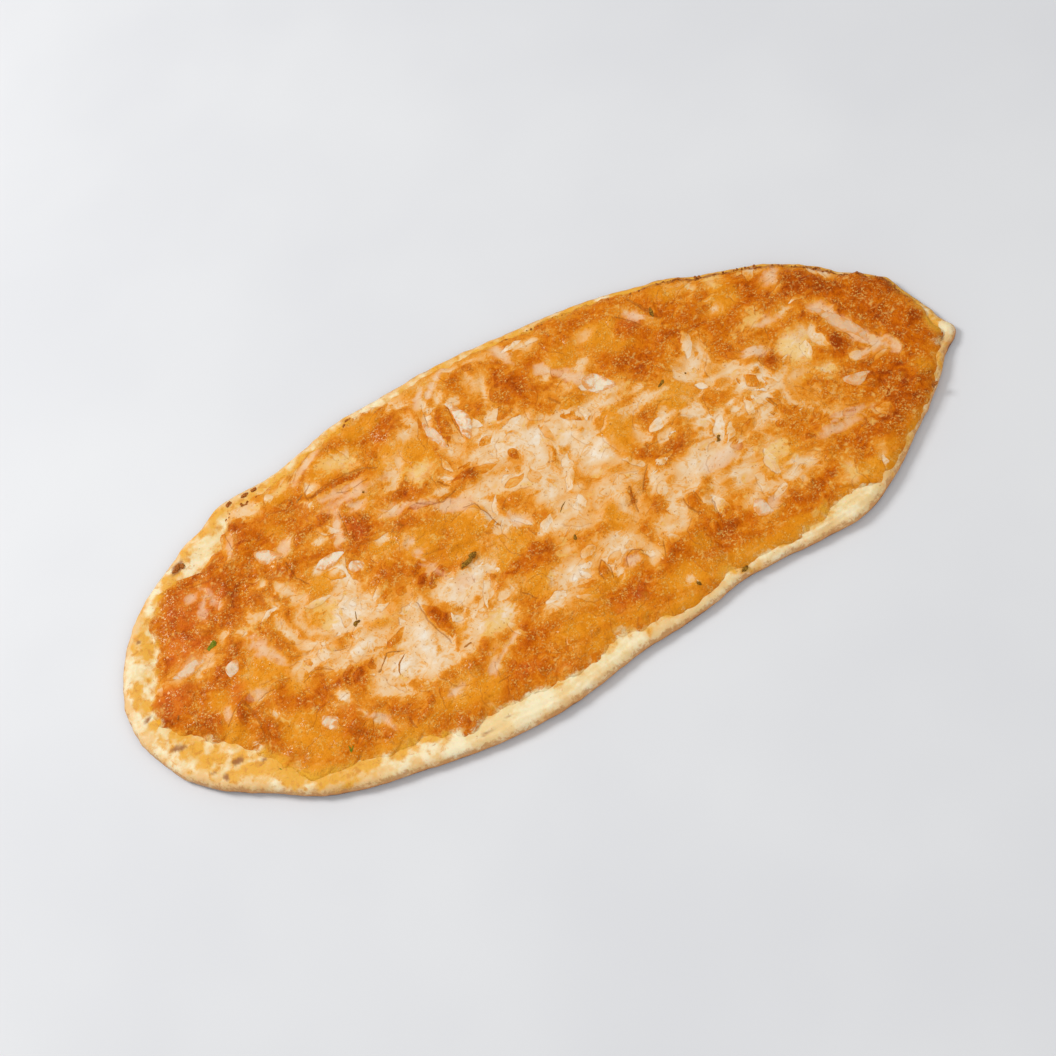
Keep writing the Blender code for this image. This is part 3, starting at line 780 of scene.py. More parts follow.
# Streaks of cream and of glassy cheese: a path and its width in mm.
CREAM_STROKES = (
    ((-104, 4), (-100, -4), (-95, -9), (-87, -11), 3.8),
    ((-98, 20), (-95, 13), (-92, 10), (-96, 3), (-94, -3), (-90, -5.5), (-84, -7), 3.2),
    ((-105, -14), (-98, -14), (-90, -15), (-82, -16), (-72, -14), 5.2),
    ((-94, -21), (-86, -22), (-78, -20), (-64, -19), 5.0),
    ((-25, 58), (-21, 50), (-19, 43), (-16, 37), 2.2), ((73, -23), (80, -16), (88, -8), 2.2),
    ((102, 3), (105, -8), (110, -16), (115, -20), 2.2),
    ((107, 3), (109, -4), (113, -14), 1.6),
    ((-21, 17), (-14, 12), (-11, 4), (-10, 0), 4.0), ((20, 34), (30, 32), (44, 30), 3.0),
    ((86, -2), (100, 0), (108, 4), 4.0), ((80, -20), (90, -18), 3.0),
)
PINK_STROKES = (
    ((131.5, 24), (134, 20), (135.5, 13), (138, 6), (141, 0), (146, -5), 4.0),
    ((-38, -52), (-31, -46.5), (-26, -43), 0.8), ((28, 55), (33, 50), (38, 44), (45, 36), 4.4),
    ((-16, 68), (-12, 72), (-6, 77), 1.6), ((-22, 66), (-17, 72), 1.8),
)
# Orange crust islands in the cream: ovals again.
ISLANDS = (
    (-5, 8, 6.5, 3.6, 8), (5, 40.5, 1.6, 1.2, 0), (64, 8, 3, 1.4, 20),
    (4, 26, 4.2, 1.6, 78), (30.5, 21.5, 1.8, 1.7, 0), (17, 15, 5, 1.0, 82),
    (20.6, 4, 5.4, 2.8, 80), (43, 14, 9.5, 4.6, 82), (34, 0.5, 6, 2.0, -22),
    (38.5, 21, 3, 2.4, 0), (-46, 33, 4, 4, 0), (52, -7, 5, 3.4, 0), (22, 20, 2, 3, 0),
    (12, -26, 4, 2.4, 0), (-7, -35, 3.4, 3, 0), (-87, 6, 4, 2, 0),
    (35, 26, 1.6, 1.2, 0), (-7, 14.5, 2.2, 0.8, -10), (12.5, 8, 1.4, 1.1, -40),
    (-85, -13, 3.0, 2.2, 0), (-68, -13.5, 6, 1.4, -8), (-66, -22, 4.4, 1.4, 27),
    (-48, -22, 9, 3.8, -72), (-34, -23, 2.2, 1.1, 0), (-38, -26, 1.8, 1.2, 30),
    (-42, -30, 2.6, 1.6, 0), (-29, -27, 2.2, 1.6, 0), (-89, 1, 4.2, 3.4, 20),
    (26, -17, 5, 2.8, 82), (16, -21, 5, 1.7, 5), (3, -4, 4.6, 3.2, 60),
    (35.5, -14, 5, 1.3, 82), (43, -21, 5.4, 3.0, 10), (35, -28, 6.4, 3.2, 84),
    (57, -5, 8.5, 3.6, 0), (80, -10, 5, 2.6, 30), (86, -8, 5, 2.4, 25),
    (70, -21.5, 4, 1.9, 20), (69, -27, 2.4, 2.0, 0), (51, -15, 2.0, 1.8, 0),
    (86, -16, 3.4, 4.2, 0), (79, 6, 3.2, 4.2, 0), (86, 12, 3, 2.4, 0),
    (69, 16, 8, 6, 0), (53, 13, 3.8, 1.4, 80), (12, -36, 4.6, 1.6, 84),
    (54.5, -28, 5, 2.8, 88), (106, 11, 6.5, 3.6, 80), (104, -15, 7.5, 2.8, -70),
    (99, -8, 3.4, 1.6, 60), (74, -4, 2.6, 1.2, 60), (84, -28, 2.0, 1.4, 0),
    (77, -32, 2.2, 1.0, 20), (45, 4, 3, 3, 0), (56, 8, 1.4, 1.2, 0),
    (58, 17, 4.4, 1.0, 8), (91, 2, 3.4, 2.8, 0), (97, 3, 1.8, 2.4, 0),
    (99, 10, 1.4, 1.2, 0), (42, -10, 5, 1.2, 62), (46, -30, 1.8, 1.0, 0),
    (20, -5, 4, 0.5, 82), (112, -8, 6, 1.4, -65), (-14, 54, 5, 2.0, 100),
)
# Amber glow in the crust, and darker or redder baked patches.
AMBER = (
    (-62, 60, 12, 6, 5), (-33, 47, 13, 9, -15), (-117, -10, 9, 8, 0),
    (-89, 1, 5, 4, 20), (-42, -30, 4, 3, 0), (-68, -14, 8, 3, 0),
    (56, 56, 8, 7, 0), (61, 47, 6, 7, 0), (104, 48, 9, 8, 0), (68, 17, 7, 6, 0),
    (43, 14, 10, 6, 82), (27, -15, 8, 5, 82), (12, -15, 3, 3, 0),
    (153, -20, 3, 3, 0), (128, -41, 5, 5, 0), (118, -49, 10, 5, 5),
    (-112, -56, 9, 4, -20), (-22, 8, 9, 7, 0), (-14, -10, 9, 7, 0),
    (-47, -57, 8, 5, 0), (32, 35, 6, 3, 0), (-82, 14, 5, 5, 0),
    (-40, 10, 8, 6, 0), (112, 2, 6, 5, 0), (-52, 35, 6, 6, 0),
    (12, -56, 10, 3, 0), (34, -63, 8, 3, 10), (-104, -48, 8, 6, 0),
    (-14, 74, 8, 3, -10), (138, -42, 5, 3, 40), (-70, -10, 8, 3, -10),
    (90, -28, 7, 5, 0), (-135, -12, 5, 4, 0), (-110, -38, 8, 8, 0), (-30, -1, 8, 5, 0),
    (-10, -28, 6, 6, 0), (60, -57, 14, 4, 0), (-78, -59, 12, 3, 0), (88, -54, 8, 4, 0),
    (-135, -27, 8, 4, -40), (85, 60, 8, 4, -20), (35, 56, 10, 6, 0), (-44, 69, 10, 4, -10),
    (-85, 58, 7, 4, 0), (4, -60, 12, 3, 0), (-55, 15, 8, 5, 0), (-30, 13, 6, 4, 0),
    (12, -43, 10, 4, 0), (50, -43, 4, 3, 0), (-105, -22, 6, 5, 0), (0, -52, 14, 5, 0),
    (40, -54, 12, 5, 0), (-50, -55, 12, 5, 0), (-90, 46, 5, 5, 0), (72, -58, 20, 4, 4),
    (105, -53, 8, 4, 10),
)
RUST = (
    (-125, 40, 12, 7, 0), (-108, 53, 9, 6, 0), (-113, 30, 9, 5, 0), (-132, 24, 18, 14, 0),
    (-140, 18, 11, 6, 0), (-154, -10, 6, 4, 0), (-143, -21, 4.5, 4.5, 0),
    (132, 26, 14, 10, 0), (145, -5, 10, 12, 0), (129, -28, 10, 7, 0), (90, 49, 8, 7, 0),
    (-102, 22, 8, 5, 0), (-36, 63, 8, 4, 0), (15, 52, 5, 6, 0), (-20, 45, 3, 8, 10),
    (66, 54, 6, 7, 30), (61, 39, 6, 8, 0), (128, 38, 24, 9, -33), (80, 38, 2.4, 7, 0),
    (-45, 33, 8, 5, -10), (-33, 25, 8, 3, -20), (72, -38, 4, 3, 0), (103, -43, 5, 6, 0),
    (125, -39, 7, 4, 0), (27, 58, 5, 6, 0), (72, 58, 6, 6, 0), (-130, -2, 6, 4, 0),
    (152, 15, 10, 14, 0), (118, -33, 9, 5, 0), (140, -17, 3, 7, 0),
    (145, -29, 4, 4, 0), (131, 5, 4, 7, 0), (106, 12, 4, 6, 0),
    (-20, -48, 6, 4, 0), (-28, -57, 4, 3, 0), (58, -5, 9, 3.5, 0),
    (20, -48, 6, 3, 0), (63, -42, 7, 5, 0), (95, -47, 11, 5, 0),
    (0, -19, 12, 3, 6), (-48, -22, 8, 3, -72), (-78, -53, 7, 3, 0),
    (-78, 62, 6, 3, 30), (-100, -27, 12, 4, -5), (160, -5, 5, 10, 0),
    (12, 66, 10, 4, 70), (-62, 27, 5, 7, 0), (-85, 48, 7, 5, 0),
)
RED = (
    (-151, -2, 8, 7, 0), (-15, -63, 4, 2.2, 0), (-29, -57, 4, 2.4, 0),
    (-128, -12, 5, 4, 0), (67, 56, 3, 4, 30), (-62, 28, 2, 3, 0), (-130, 30, 12, 8, 0),
    (-140, 14, 8, 8, 0), (22, -52, 3, 2, 0), (-92, -40, 2.4, 1.7, 0), (13, -54, 3, 2.4, 0),
)
# Creases and the edges of flakes that have lifted, painted dark there as shade: a path and its
# width.
CREASES = (
    ((-135, -23), (-131, -19), (-127, -16.5), 0.9),
    ((-127, -16.5), (-125, -22), (-123.8, -29), 1.7),
    ((-124.3, -29), (-124.6, -40), (-123, -47), 0.8),
    ((-22, 15), (-18, 14.5), (-15.5, 9), (-13.2, 1), 0.7),
    ((-37, 26), (-33, 22.5), (-28, 21.5), (-22, 24), 0.8), ((-26.5, 30), (-24, 27), 0.8),
    ((-79, 62), (-75, 65.5), (-68, 69.5), (-60, 73), 0.8),
    ((-75, 50), (-75, 54), (-72, 56), 0.9), ((-74, 50), (-66, 51), (-58, 52.8), 1.3),
    ((-58, 52.8), (-50, 51.5), (-46, 49), 1.6), ((-51, 20), (-48, 21.8), (-46, 20), 0.8),
    ((-120, -18.5), (-118, -17.6), (-115.5, -18), 0.7),
    ((-103, -20.5), (-98, -18.4), (-92, -21), 0.6), ((-94, -53), (-91, -50), (-88, -48), 0.7),
    ((12.2, -39), (12, -35), (14.4, -31.4), (16.4, -35), (15.6, -40), 0.6),
    ((52, -24.5), (51.8, -29), (54.5, -33), 0.8), ((56.4, -24), (57.2, -29), 0.6),
    ((36.5, -10), (35.5, -15), (35, -20.5), 0.9), ((46, -5), (42, -10), (40, -14), 0.7),
    ((-92, 28), (-91, 21), (-87.5, 16.5), 0.7),
    ((22, -39), (23.5, -35), (26.5, -33.6), (29.5, -36), 0.6), ((36, -43), (37.5, -37), 0.6),
    ((-53, -13), (-52, -22), (-48, -33), 0.8), ((-34.5, -57), (-38, -57.4), 0.8),
    ((-73, -54), (-72.5, -58), 1.2), ((-16, -29.5), (-12.5, -33.5), 0.7),
    ((131.5, 19), (134, 12), (136.5, 4), 0.6), ((-66, 38), (-66, 28), 0.5),
    ((98, -3), (99, -7), 0.8), ((-20, 60), (-21, 53), (-19, 46), 0.5),
    ((-10.5, 60), (-11.2, 52), (-10.6, 44), 0.5),
    ((33, -16.4), (36, -15.8), 1.4),
    ((-56, 45), (-51, 45.6), 0.7), ((-63, 46.4), (-59, 45), 0.6),
    ((64, 60), (67, 57), (70, 52), 0.8), ((-84, -16), (-88, -15), 0.4),
    ((71, 66), (74, 60), (78, 51), 1.8), ((26, 41), (28.4, 37), 1.8),
    ((-109, 60), (-110, 52), (-109, 45), 0.5), ((60, -40), (61, -31), 0.7),
)
# The far edge's crumbly charred hem.
CHARRED = (
    ((-107, 65), (-98, 66.5), (-90, 67), 1.8), ((20, 76), (40, 75.6), (60, 73.6), 0.8),
    ((78, 69), (91, 64.5), (100, 60), (110, 57), (120, 53), (130, 47.5), 2.0),
    ((130, 47.5), (138, 42), (145, 34), (152, 30), (158, 24), (160, 19), (163, 10), 2.0),
)


def blob_share(places, table, core, rim):
    """The sum of a table's soft ovals, each 1 in its core and 0 past its rim."""
    total = np.zeros(len(places))
    for oval in table:
        total += 1.0 - smooth(core, rim, oval_radius(places, *oval))
    return total


def shred_fields(places):
    """How far inside the topmost melted shred, how near its edge, and its tone."""
    picks = np.random.default_rng(5)
    spots = picks.uniform(*SHRED_FIELD, (SHREDS, 2))
    sizes = picks.uniform(*SHRED_SIZES, (SHREDS, 2))
    turns = picks.uniform(0.0, 180.0, SHREDS)
    bends = picks.uniform(-SHRED_BEND, SHRED_BEND, SHREDS)
    tones = picks.uniform(-1.0, 1.0, SHREDS)
    strewn = np.column_stack([spots, sizes, turns, bends, tones]).tolist()
    inside = np.full(len(places), -SHRED_REACH)
    nearness = np.full(len(places), SHRED_REACH)
    tone = np.zeros(len(places))
    for x, y, half_length, half_width, turn, bend, own_tone in strewn + list(FLAKES):
        close = np.flatnonzero(np.abs(places - (x, y)).max(axis=1) < half_length * 1.6)
        along, across = rotated(places[close], x, y, turn)
        across = across + bend * along**2 / half_length
        share = np.abs(along / half_length) ** SHRED_POWER
        share += np.abs(across / half_width) ** SHRED_POWER
        depth = (1.0 - share ** (1.0 / SHRED_POWER)) * half_width
        on_top = depth > -SHRED_HALO
        close, depth, across = close[on_top], depth[on_top], across[on_top]
        faded = 1.0 - smooth(-0.4, 0.5, across / half_width)
        inside[close] = np.minimum(depth, SHRED_REACH)
        nearness[close] = np.minimum(np.abs(depth) + faded * 2.0, SHRED_REACH)
        tone[close] = own_tone
    return inside, nearness, tone


def line_fields(places, table):
    """On which side of the nearest line, in its widths, and how near, in mm."""
    side = np.full(len(places), LINE_REACH)
    nearness = np.full(len(places), LINE_REACH)
    for left, away, width in spans(places, table):
        hand = np.where(left > 0.0, 1.0, -1.0)
        nearer = away < nearness
        side = np.where(nearer, hand * away / width, side)
        nearness = np.where(nearer, away, nearness)
    return np.clip(side, -LINE_REACH, LINE_REACH), nearness


def cheese_fields(place):
    """What the cheese is at each place: how far inside each kind of patch."""
    loose = bent(place, LOOSE_RIPPLES, 50.0)
    tight = bent(place, TIGHT_RIPPLES, 80.0)
    cream = np.maximum(ovals(loose, CREAM), strokes(loose, CREAM_STROKES))
    butter = ovals(loose, BUTTER)
    cream = np.minimum(np.maximum(cream, butter), -ovals(tight, ISLANDS))
    white = ovals(tight, WHITE)
    pink = np.maximum(ovals(tight, PINK), strokes(tight, PINK_STROKES))
    pool = np.maximum(np.maximum(cream, white), pink)
    rust, amber = (smooth(-4.0, 4.0, ovals(loose, table)) for table in (RUST, AMBER))
    shred, shred_edge, shred_tone = shred_fields(bent(place, SHRED_RIPPLES, 95.0))
    crease, crease_edge = line_fields(bent(place, CREASE_RIPPLES, 90.0), CREASES)
    return {
        "pool": np.clip(pool, -POOL_REACH, POOL_REACH),
        "white": np.clip(white, -PATCH_REACH, PATCH_REACH),
        "pink": np.clip(pink, -PATCH_REACH, PATCH_REACH),
        "butter": np.clip(butter, -PATCH_REACH, PATCH_REACH),
        "warmth": rust - amber,
        "red": smooth(-2.5, 2.5, ovals(loose, RED)),
        "char": smooth(-0.8, 0.8, strokes(tight, CHARRED)),
        "shred": shred,
        "shred_edge": shred_edge,
        "shred_tone": shred_tone,
        "crease": crease,
        "crease_edge": crease_edge,
    }


def cheese_relief(place, fields):
    """Height of the baked cheese over its mean level, in millimetres."""
    relief = sum(height * ripple(place, wavelength) for wavelength, height in LUMPS)
    relief -= POOL_DEPTH * blob_share(place, POOLS, 0.55, 1.15)
    relief += CURL_HEIGHT * blob_share(place, CURLS, 0.3, 1.2)
    crust = smooth(1.0, -1.2, fields["pool"])
    relief += crust * (CRUST_RISE + ripples(place, CRUST_RIPPLES, 21.0))
    relief += (1.0 - crust) * POOL_RIPPLE * ripple(place, 5.0, 23.0)
    relief += WHITE_RISE * smooth(-0.3, 1.0, fields["white"])
    relief += SHRED_RISE * smooth(-0.3, 1.3, fields["shred"]) * (0.35 + 0.65 * crust)
    return relief - CREASE_DEPTH * smooth(1.2, 0.2, fields["crease_edge"])


def disc_place(u, v):
    """Angle and radius on a disc of nested rings for places on the square."""
    wide = np.abs(u) >= np.abs(v)
    tiny = 1e-9
    safe_u = np.where(np.abs(u) < tiny, tiny, u)
    safe_v = np.where(np.abs(v) < tiny, tiny, v)
    beside = 45.0 * v / safe_u + np.where(u < 0.0, 180.0, 0.0)
    above = 90.0 - 45.0 * u / safe_v + np.where(v < 0.0, 180.0, 0.0)
    return np.where(wide, beside, above), np.maximum(np.abs(u), np.abs(v))


def make_disc_mesh(name, columns, rows, levels):
    """A square grid for a disc of nested rings, closed below by extruded levels."""
    shape = bmesh.new()
    bmesh.ops.create_grid(shape, x_segments=columns, y_segments=rows, size=1.0)
    ring = [edge for edge in shape.edges if edge.is_boundary]
    for level in range(1, levels + 1):
        ring = extrude_level(shape, ring, level)
    bmesh.ops.edgeloop_fill(shape, edges=ring)
    return to_mesh(name, shape)


def make_topping_mesh():
    mesh = make_disc_mesh("baked_cheese", TOPPING_COLUMNS, TOPPING_ROWS, len(UNDER_RINGS))
    marks = corners(mesh)
    level = marks[:, 2].round().astype(int)
    angle, share = disc_place(marks[:, 0], marks[:, 1])
    rim = bare_rim(angle)
    edge = edge_point(angle, rim)
    place = edge * share[:, None]
    depth = (1.0 - share) * -(edge * inward(angle)).sum(axis=1)
    ragged = np.maximum(ripples(edge, LIP_RIPPLES, 1.0), 0.5 - rim)
    drawn_in = ragged * smooth(LIP_REACH, 0.0, depth)
    place += inward(angle) * drawn_in[:, None]
    fields = cheese_fields(place)
    relief = cheese_relief(place, fields)
    rise = smooth(0.0, LIP_REACH, depth) * 0.5 + np.sqrt(smooth(0.0, 3.2, depth)) * 0.5
    lift = dough_top(angle, np.maximum(rim + depth + drawn_in, LEAST_INSET))
    lip = lift - TOPPING_SINK
    full = np.maximum(lift - BED_HEIGHT, 0.0) * 0.5 + BED_LEVEL
    height = lip + (full - lip) * rise + relief * (0.1 + 0.9 * rise)
    height = np.maximum(height, lip + LEAST_COVER * smooth(0.0, 3.0, depth))
    height += CHAR_RISE * fields["char"] * (0.6 + ripple(place, 1.4, 24.0))
    for step, reach in enumerate(UNDER_RINGS, start=1):
        inset = rim + np.maximum(RIM_REACH - rim, 1.0) * reach
        below = edge_point(angle, inset)
        below += inward(angle) * (ragged * (1.0 - reach))[:, None]
        place = np.where((level == step)[:, None], below, place)
        bottom = dough_top(angle, np.maximum(inset, LEAST_INSET)) - TOPPING_SINK
        height = np.where(level == step, bottom - UNDER_CLEARANCE, height)
    for name, values in fields.items():
        carry(mesh, name, values)
    covered = -depth - 3.0 * smooth(5.0, 1.5, rim)
    carry_dough(mesh, place, np.minimum(rim + depth, 40.0), covered)
    carry(mesh, "relief", relief)
    set_corners(mesh, place, height)
    mesh.shade_smooth()
    return mesh


# From thick white cheese through cream, peach and amber to dark crust.
BAKE_COLOURS = (
    (0.00, tint(246, 234, 214)), (0.12, tint(243, 219, 188)), (0.25, tint(240, 201, 152)),
    (0.36, tint(239, 181, 114)), (0.44, tint(238, 163, 78)), (0.52, tint(234, 146, 44)),
    (0.60, tint(226, 130, 18)), (0.70, tint(215, 112, 4)), (0.82, tint(198, 93, 0)),
    (1.00, tint(158, 62, 0)),
)
# Colours laid over the baked ones.
POOL_EDGE = tint(241, 163, 52)
AMBER_CRUST = tint(241, 157, 28)
RED_CRUST = tint(222, 98, 34)
BUTTER_YELLOW = tint(242, 200, 112)
GLASSY_PINK = tint(235, 200, 172)
# Pale highlight colour painted into the crust for its glints.
PAINTED_GLINT = tint(255, 200, 100)
CHEESE_FRECKLE = tint(176, 102, 34)
SHRED_EDGE_AND_SHADE = tint(176, 94, 26)
CREASE_SHADE = tint(164, 84, 18)
CHARRED_CHEESE = tint(156, 80, 24)
LIP_GLOW = tint(238, 160, 46)


def cheese_lines(start):
    """Masks of the dark lines painted along one side of melted shreds and in the creases."""
    around = start.value("shred").line(0.01, 0.09)
    around = around * (1 - start.value("shred_edge").step(0.6, 1.0))
    creases = start.value("crease").line(0.03, 0.20)
    return around, creases * (1 - start.value("crease_edge").step(0.7, 1.1))


def tint_patches(start, colour, streaks, swirls, small):
    """Red baked patches, butter-yellow pools and glassy pink bits."""
    colour = (start.value("red") * 0.35).tinted(colour, RED_CRUST)
    buttery = (start.value("butter") + streaks * 16.0 + swirls * 16.0).step(-1.5, 2.4) * 0.5
    colour = buttery.tinted(colour, BUTTER_YELLOW)
    glassy = (start.value("pink") + small * 1.5 + streaks * 6.0).step(-1.4, 1.0) * 0.45
    return glassy.tinted(colour, GLASSY_PINK)


def tint_lip(start, colour):
    """The sheet frays out over the rim, golden at first, and then bare dough."""
    broad, fine, crumb = dough_grains(start)
    frayed = start.value("bare") + crumb * 12.0 + broad * 10.0
    glow = frayed.step(-6.0, -1.0) * (start.value("grease") * 0.5 + 0.3)
    colour = glow.tinted(colour, LIP_GLOW)
    return frayed.step(-2.4, 0.6).tinted(colour, dough_colour(start, broad, fine, crumb))


def make_topping_material():
    fixed = {"Specular IOR Level": 0.05, "Coat Roughness": 0.22}
    material, start = start_material("baked cheese", fixed)
    broad = start.grain(16.0, 2.0, 0.6, 0.8)
    middle = start.grain(5.5, 3.0, 0.65, 1.0)
    streaks = start.grain(7.5, 1.5, 0.5, 1.8)
    swirls = start.grain(3.4, 1.0, 0.5, 1.6)
    small = start.grain(1.8, 2.0, 0.6, 0.5)
    fine = start.grain(0.6, 1.0)
    threads = start.grain(8.0, 2.0, 0.55, 1.5).line(0.0003, 0.0018) * swirls.step(-0.06, 0.05)
    strings = start.grain(6.3, 2.0, 0.55, 1.8).line(0.0003, 0.0020) * middle.step(-0.04, 0.06)
    pool = start.value("pool")
    on_shred = start.value("shred").step(-0.12, 0.15)
    tone = start.value("shred_tone") * on_shred
    shred_line, crease_line = cheese_lines(start)

    crust = 0.71 + broad * 0.55 + middle * 0.9 + small * 0.32 + fine * 0.15
    crust = crust + start.value("warmth") * 0.09 + start.value("relief") * 0.05 + tone * 0.09
    crust = crust - strings * 0.07 - pool.step(-6.0, 0.0) * 0.07
    cream = 0.28 + broad * 0.3 + streaks * 0.4 + swirls * 0.2 + small * 0.1 + threads * 0.1
    cream = cream - pool.step(0.0, 5.0) * 0.06 + tone * 0.12
    cream = cream - start.value("white").step(-1.5, 1.5) * 0.09
    inside = pool * 1.2 + streaks * 6.0 + swirls * 3.0 + small + fine * 0.5
    inside = inside - tone * 3.0 + strings * 0.6 - threads * 0.6
    sharp = inside.step(-1.8, 1.2)
    soft = inside.step(-5.0, 4.0)
    thin = start.value("pink").step(-1.5, 0.5) + start.value("butter").step(-1.5, 0.5)
    blend = sharp + (soft - sharp) * (start.grain(13.0, 1.0) * 8.0 + thin).step(-0.4, 0.9)
    colour = (crust + (cream - crust) * blend).ramp(BAKE_COLOURS)

    crisp = 1 - blend
    near_pool = inside.step(-5.0, 0.0) * crisp * 0.35
    colour = near_pool.tinted(colour, POOL_EDGE)
    amber = (middle * 2.5 - start.value("warmth")).step(0.1, 0.9) * crisp * 0.55
    colour = amber.tinted(colour, AMBER_CRUST)
    colour = tint_patches(start, colour, streaks, swirls, small)
    # Glints: pale highlights painted into the base colour in clusters over the crust; the same
    # spots also get a glossy coat.
    cluster = start.grain(4.0, 2.0, 0.6).step(-0.10, 0.10) * (crisp * 0.85 + 0.15)
    glints = start.grain(0.8, 2.0, 0.7).step(0.02, 0.12) * cluster
    colour = (glints * 0.62).tinted(colour, PAINTED_GLINT)
    freckles = start.dots(1.9, 0.32, 0.35) * swirls.step(0.05, 0.11)
    colour = (freckles * 0.65).tinted(colour, CHEESE_FRECKLE)
    # Shred lines: the shreds' own darker orange edges, with painted shade under each shred's
    # raised edge on one side.
    colour = (shred_line * (0.20 + crisp * 0.16)).tinted(colour, SHRED_EDGE_AND_SHADE)
    # Crease lines: painted shade in the creases and under lifted flake edges.
    colour = (crease_line * 0.5).tinted(colour, CREASE_SHADE)
    charred = (start.value("char") + small * 2.0 + fine).step(0.25, 0.85) * 0.75
    colour = charred.tinted(colour, CHARRED_CHEESE)
    colour = tint_lip(start, colour)

    rough = 0.40 + (fine + small).step(-0.1, 0.15) * 0.22 + blend * 0.05
    coat = glints * 0.4 + blend * streaks.step(0.0, 0.2) * 0.12
    bumps = small * 0.7 + fine * 0.35 + middle * 0.6
    lumps = bumps * (0.2 + crisp * 0.8) + glints * 0.15 + on_shred * 0.12
    wires = {"Base Color": colour, "Roughness": rough, "Coat Weight": coat}
    feed(material, wires, lumps - crease_line * 0.2, 0.7)
    return material


topping = new_piece("baked_cheese", make_topping_mesh(), make_topping_material())
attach(topping, "root")
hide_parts("cheese_topping")


# ---- Pale cheese slivers ---------------------------------------------------------
# Twelve larger slivers of young cheese that lie in the topping, each a soft low
# cushion of its own with a ragged outline that sinks into the crust all round.

# x, y, length, width (mm), turn, how bent it is along its length, how white it is.
SLIVERS = (
    (-98, 35.5, 14, 7.0, -38, 0.10, 0.6), (-141, 6.5, 16, 5.0, 8, 0.02, 0.35),
    (-126.5, -2, 8, 5.5, 55, -0.05, 0.6), (-77, 21, 15, 6.5, 8, -0.04, 0.9),
    (-68, 14, 8, 6.0, -10, 0.0, 0.8), (-7.6, 51, 23, 7.4, 96, 0.12, 0.9),
    (-20, 50, 20, 4.5, 108, -0.05, 0.4), (44.5, 37.5, 16, 8.0, -38, 0.06, 0.9),
    (136.2, 12, 32, 5.6, -66, -0.04, 0.0), (130, -13, 12.5, 6.2, -15, 0.16, 0.1),
    (75, -43, 9.5, 6.5, -60, 0.10, 0.5), (-100, -40.5, 11, 7.0, -62, -0.06, 0.8),
)
SLIVER_COLUMNS = 56
SLIVER_ROWS = 32
SLIVER_TAPER = 0.45
SLIVER_RISE = 0.14
SLIVER_SINK = 0.26
SLIVER_SKIRT = 0.4
SLIVER_RIPPLES = ((8.0, 1.5), (3.4, 0.6))
SLIVER_UNEVENNESS = 0.12
PEACH_SLIVER = tint(228, 184, 142)
WHITE_SLIVER = tint(241, 224, 198)
SLIVER_MOTTLE = tint(236, 192, 142)
SLIVER_VEIN = tint(222, 146, 76)
SLIVER_EDGE = tint(230, 152, 72)

topping_shape = bmesh.new()
topping_shape.from_mesh(topping.data)
topping_tree = BVHTree.FromBMesh(topping_shape)
topping_shape.free()


def draped(places):
    """Height of the topping's surface under places on the drawing, in mm."""
    heights = []
    for x, y in ((places - CENTRE) * MM).tolist():
        hit = topping_tree.ray_cast(Vector((x, y, 0.05)), Vector((0.0, 0.0, -1.0)))[0]
        heights.append(hit.z / MM if hit else BED_HEIGHT + RIM_CROWN)
    return np.array(heights)


def make_sliver_mesh(name, number):
    x, y, length, width, turn, bend, whiteness = SLIVERS[number]
    mesh = make_disc_mesh(name, SLIVER_COLUMNS, SLIVER_ROWS, 1)
    marks = corners(mesh)
    angle, share = disc_place(marks[:, 0], marks[:, 1])
    turned = np.radians(angle)
    along = np.cos(turned) * share * length * 0.5
    across = np.sin(turned) * share * width * 0.5
    across *= 1.0 - SLIVER_TAPER * np.abs(along / length * 2.0) ** 1.5
    across += bend * along**2 / length * 4.0
    lean = math.radians(turn)
    place = np.column_stack([
        x + along * math.cos(lean) - across * math.sin(lean),
        y + along * math.sin(lean) + across * math.cos(lean),
    ])
    place = bent(place, SLIVER_RIPPLES, 60.0 + number)
    dome = 1.0 - share**5
    height = draped(place) + SLIVER_RISE * dome - SLIVER_SINK * share**8
    height += SLIVER_UNEVENNESS * dome * ripple(place, 2.6, 70.0)
    height = np.where(marks[:, 2] > 0.5, height.min() - SLIVER_SKIRT, height)
    carry(mesh, "rim", share)
    carry(mesh, "whiteness", np.full(len(place), whiteness))
    set_corners(mesh, place, height)
    mesh.shade_smooth()
    return mesh


def make_sliver_material():
    fixed = {
        "Subsurface Weight": 0.15, "Subsurface Scale": 0.002,
        "Coat Roughness": 0.2, "Specular IOR Level": 0.15,
    }
    material, start = start_material("pale cheese", fixed)
    middle = start.grain(4.0, 2.0, 0.6, 0.6)
    streaks = start.grain(5.0, 2.0, 0.6, 2.0)
    fine = start.grain(0.8, 2.0, 0.6)
    colour = start.value("whiteness").tinted(PEACH_SLIVER, WHITE_SLIVER)
    mottle = (middle + streaks).step(-0.15, 0.25) * 0.7
    colour = mottle.tinted(colour, SLIVER_MOTTLE)
    veins = streaks.line(0.0003, 0.0020) * middle.step(-0.06, 0.1) * 0.25
    colour = veins.tinted(colour, SLIVER_VEIN)
    edge = (start.value("rim") + middle * 1.6 + streaks * 1.6 + fine * 0.4).step(0.35, 1.0)
    colour = (edge * 0.95).tinted(colour, SLIVER_EDGE)
    rough = 0.45 + fine * 0.4
    coat = middle.step(0.0, 0.3) * 0.2
    wires = {"Base Color": colour, "Roughness": rough, "Coat Weight": coat}
    feed(material, wires, middle * 0.6 + fine * 0.4, 0.35)
    return material


pale_cheese = make_sliver_material()
for number in range(len(SLIVERS)):
    name = f"cheese_sliver_{number + 1:02d}"
    sliver = new_piece(f"shown_{name}", make_sliver_mesh(name, number), pale_cheese)
    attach(sliver, "root")
    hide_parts(name)


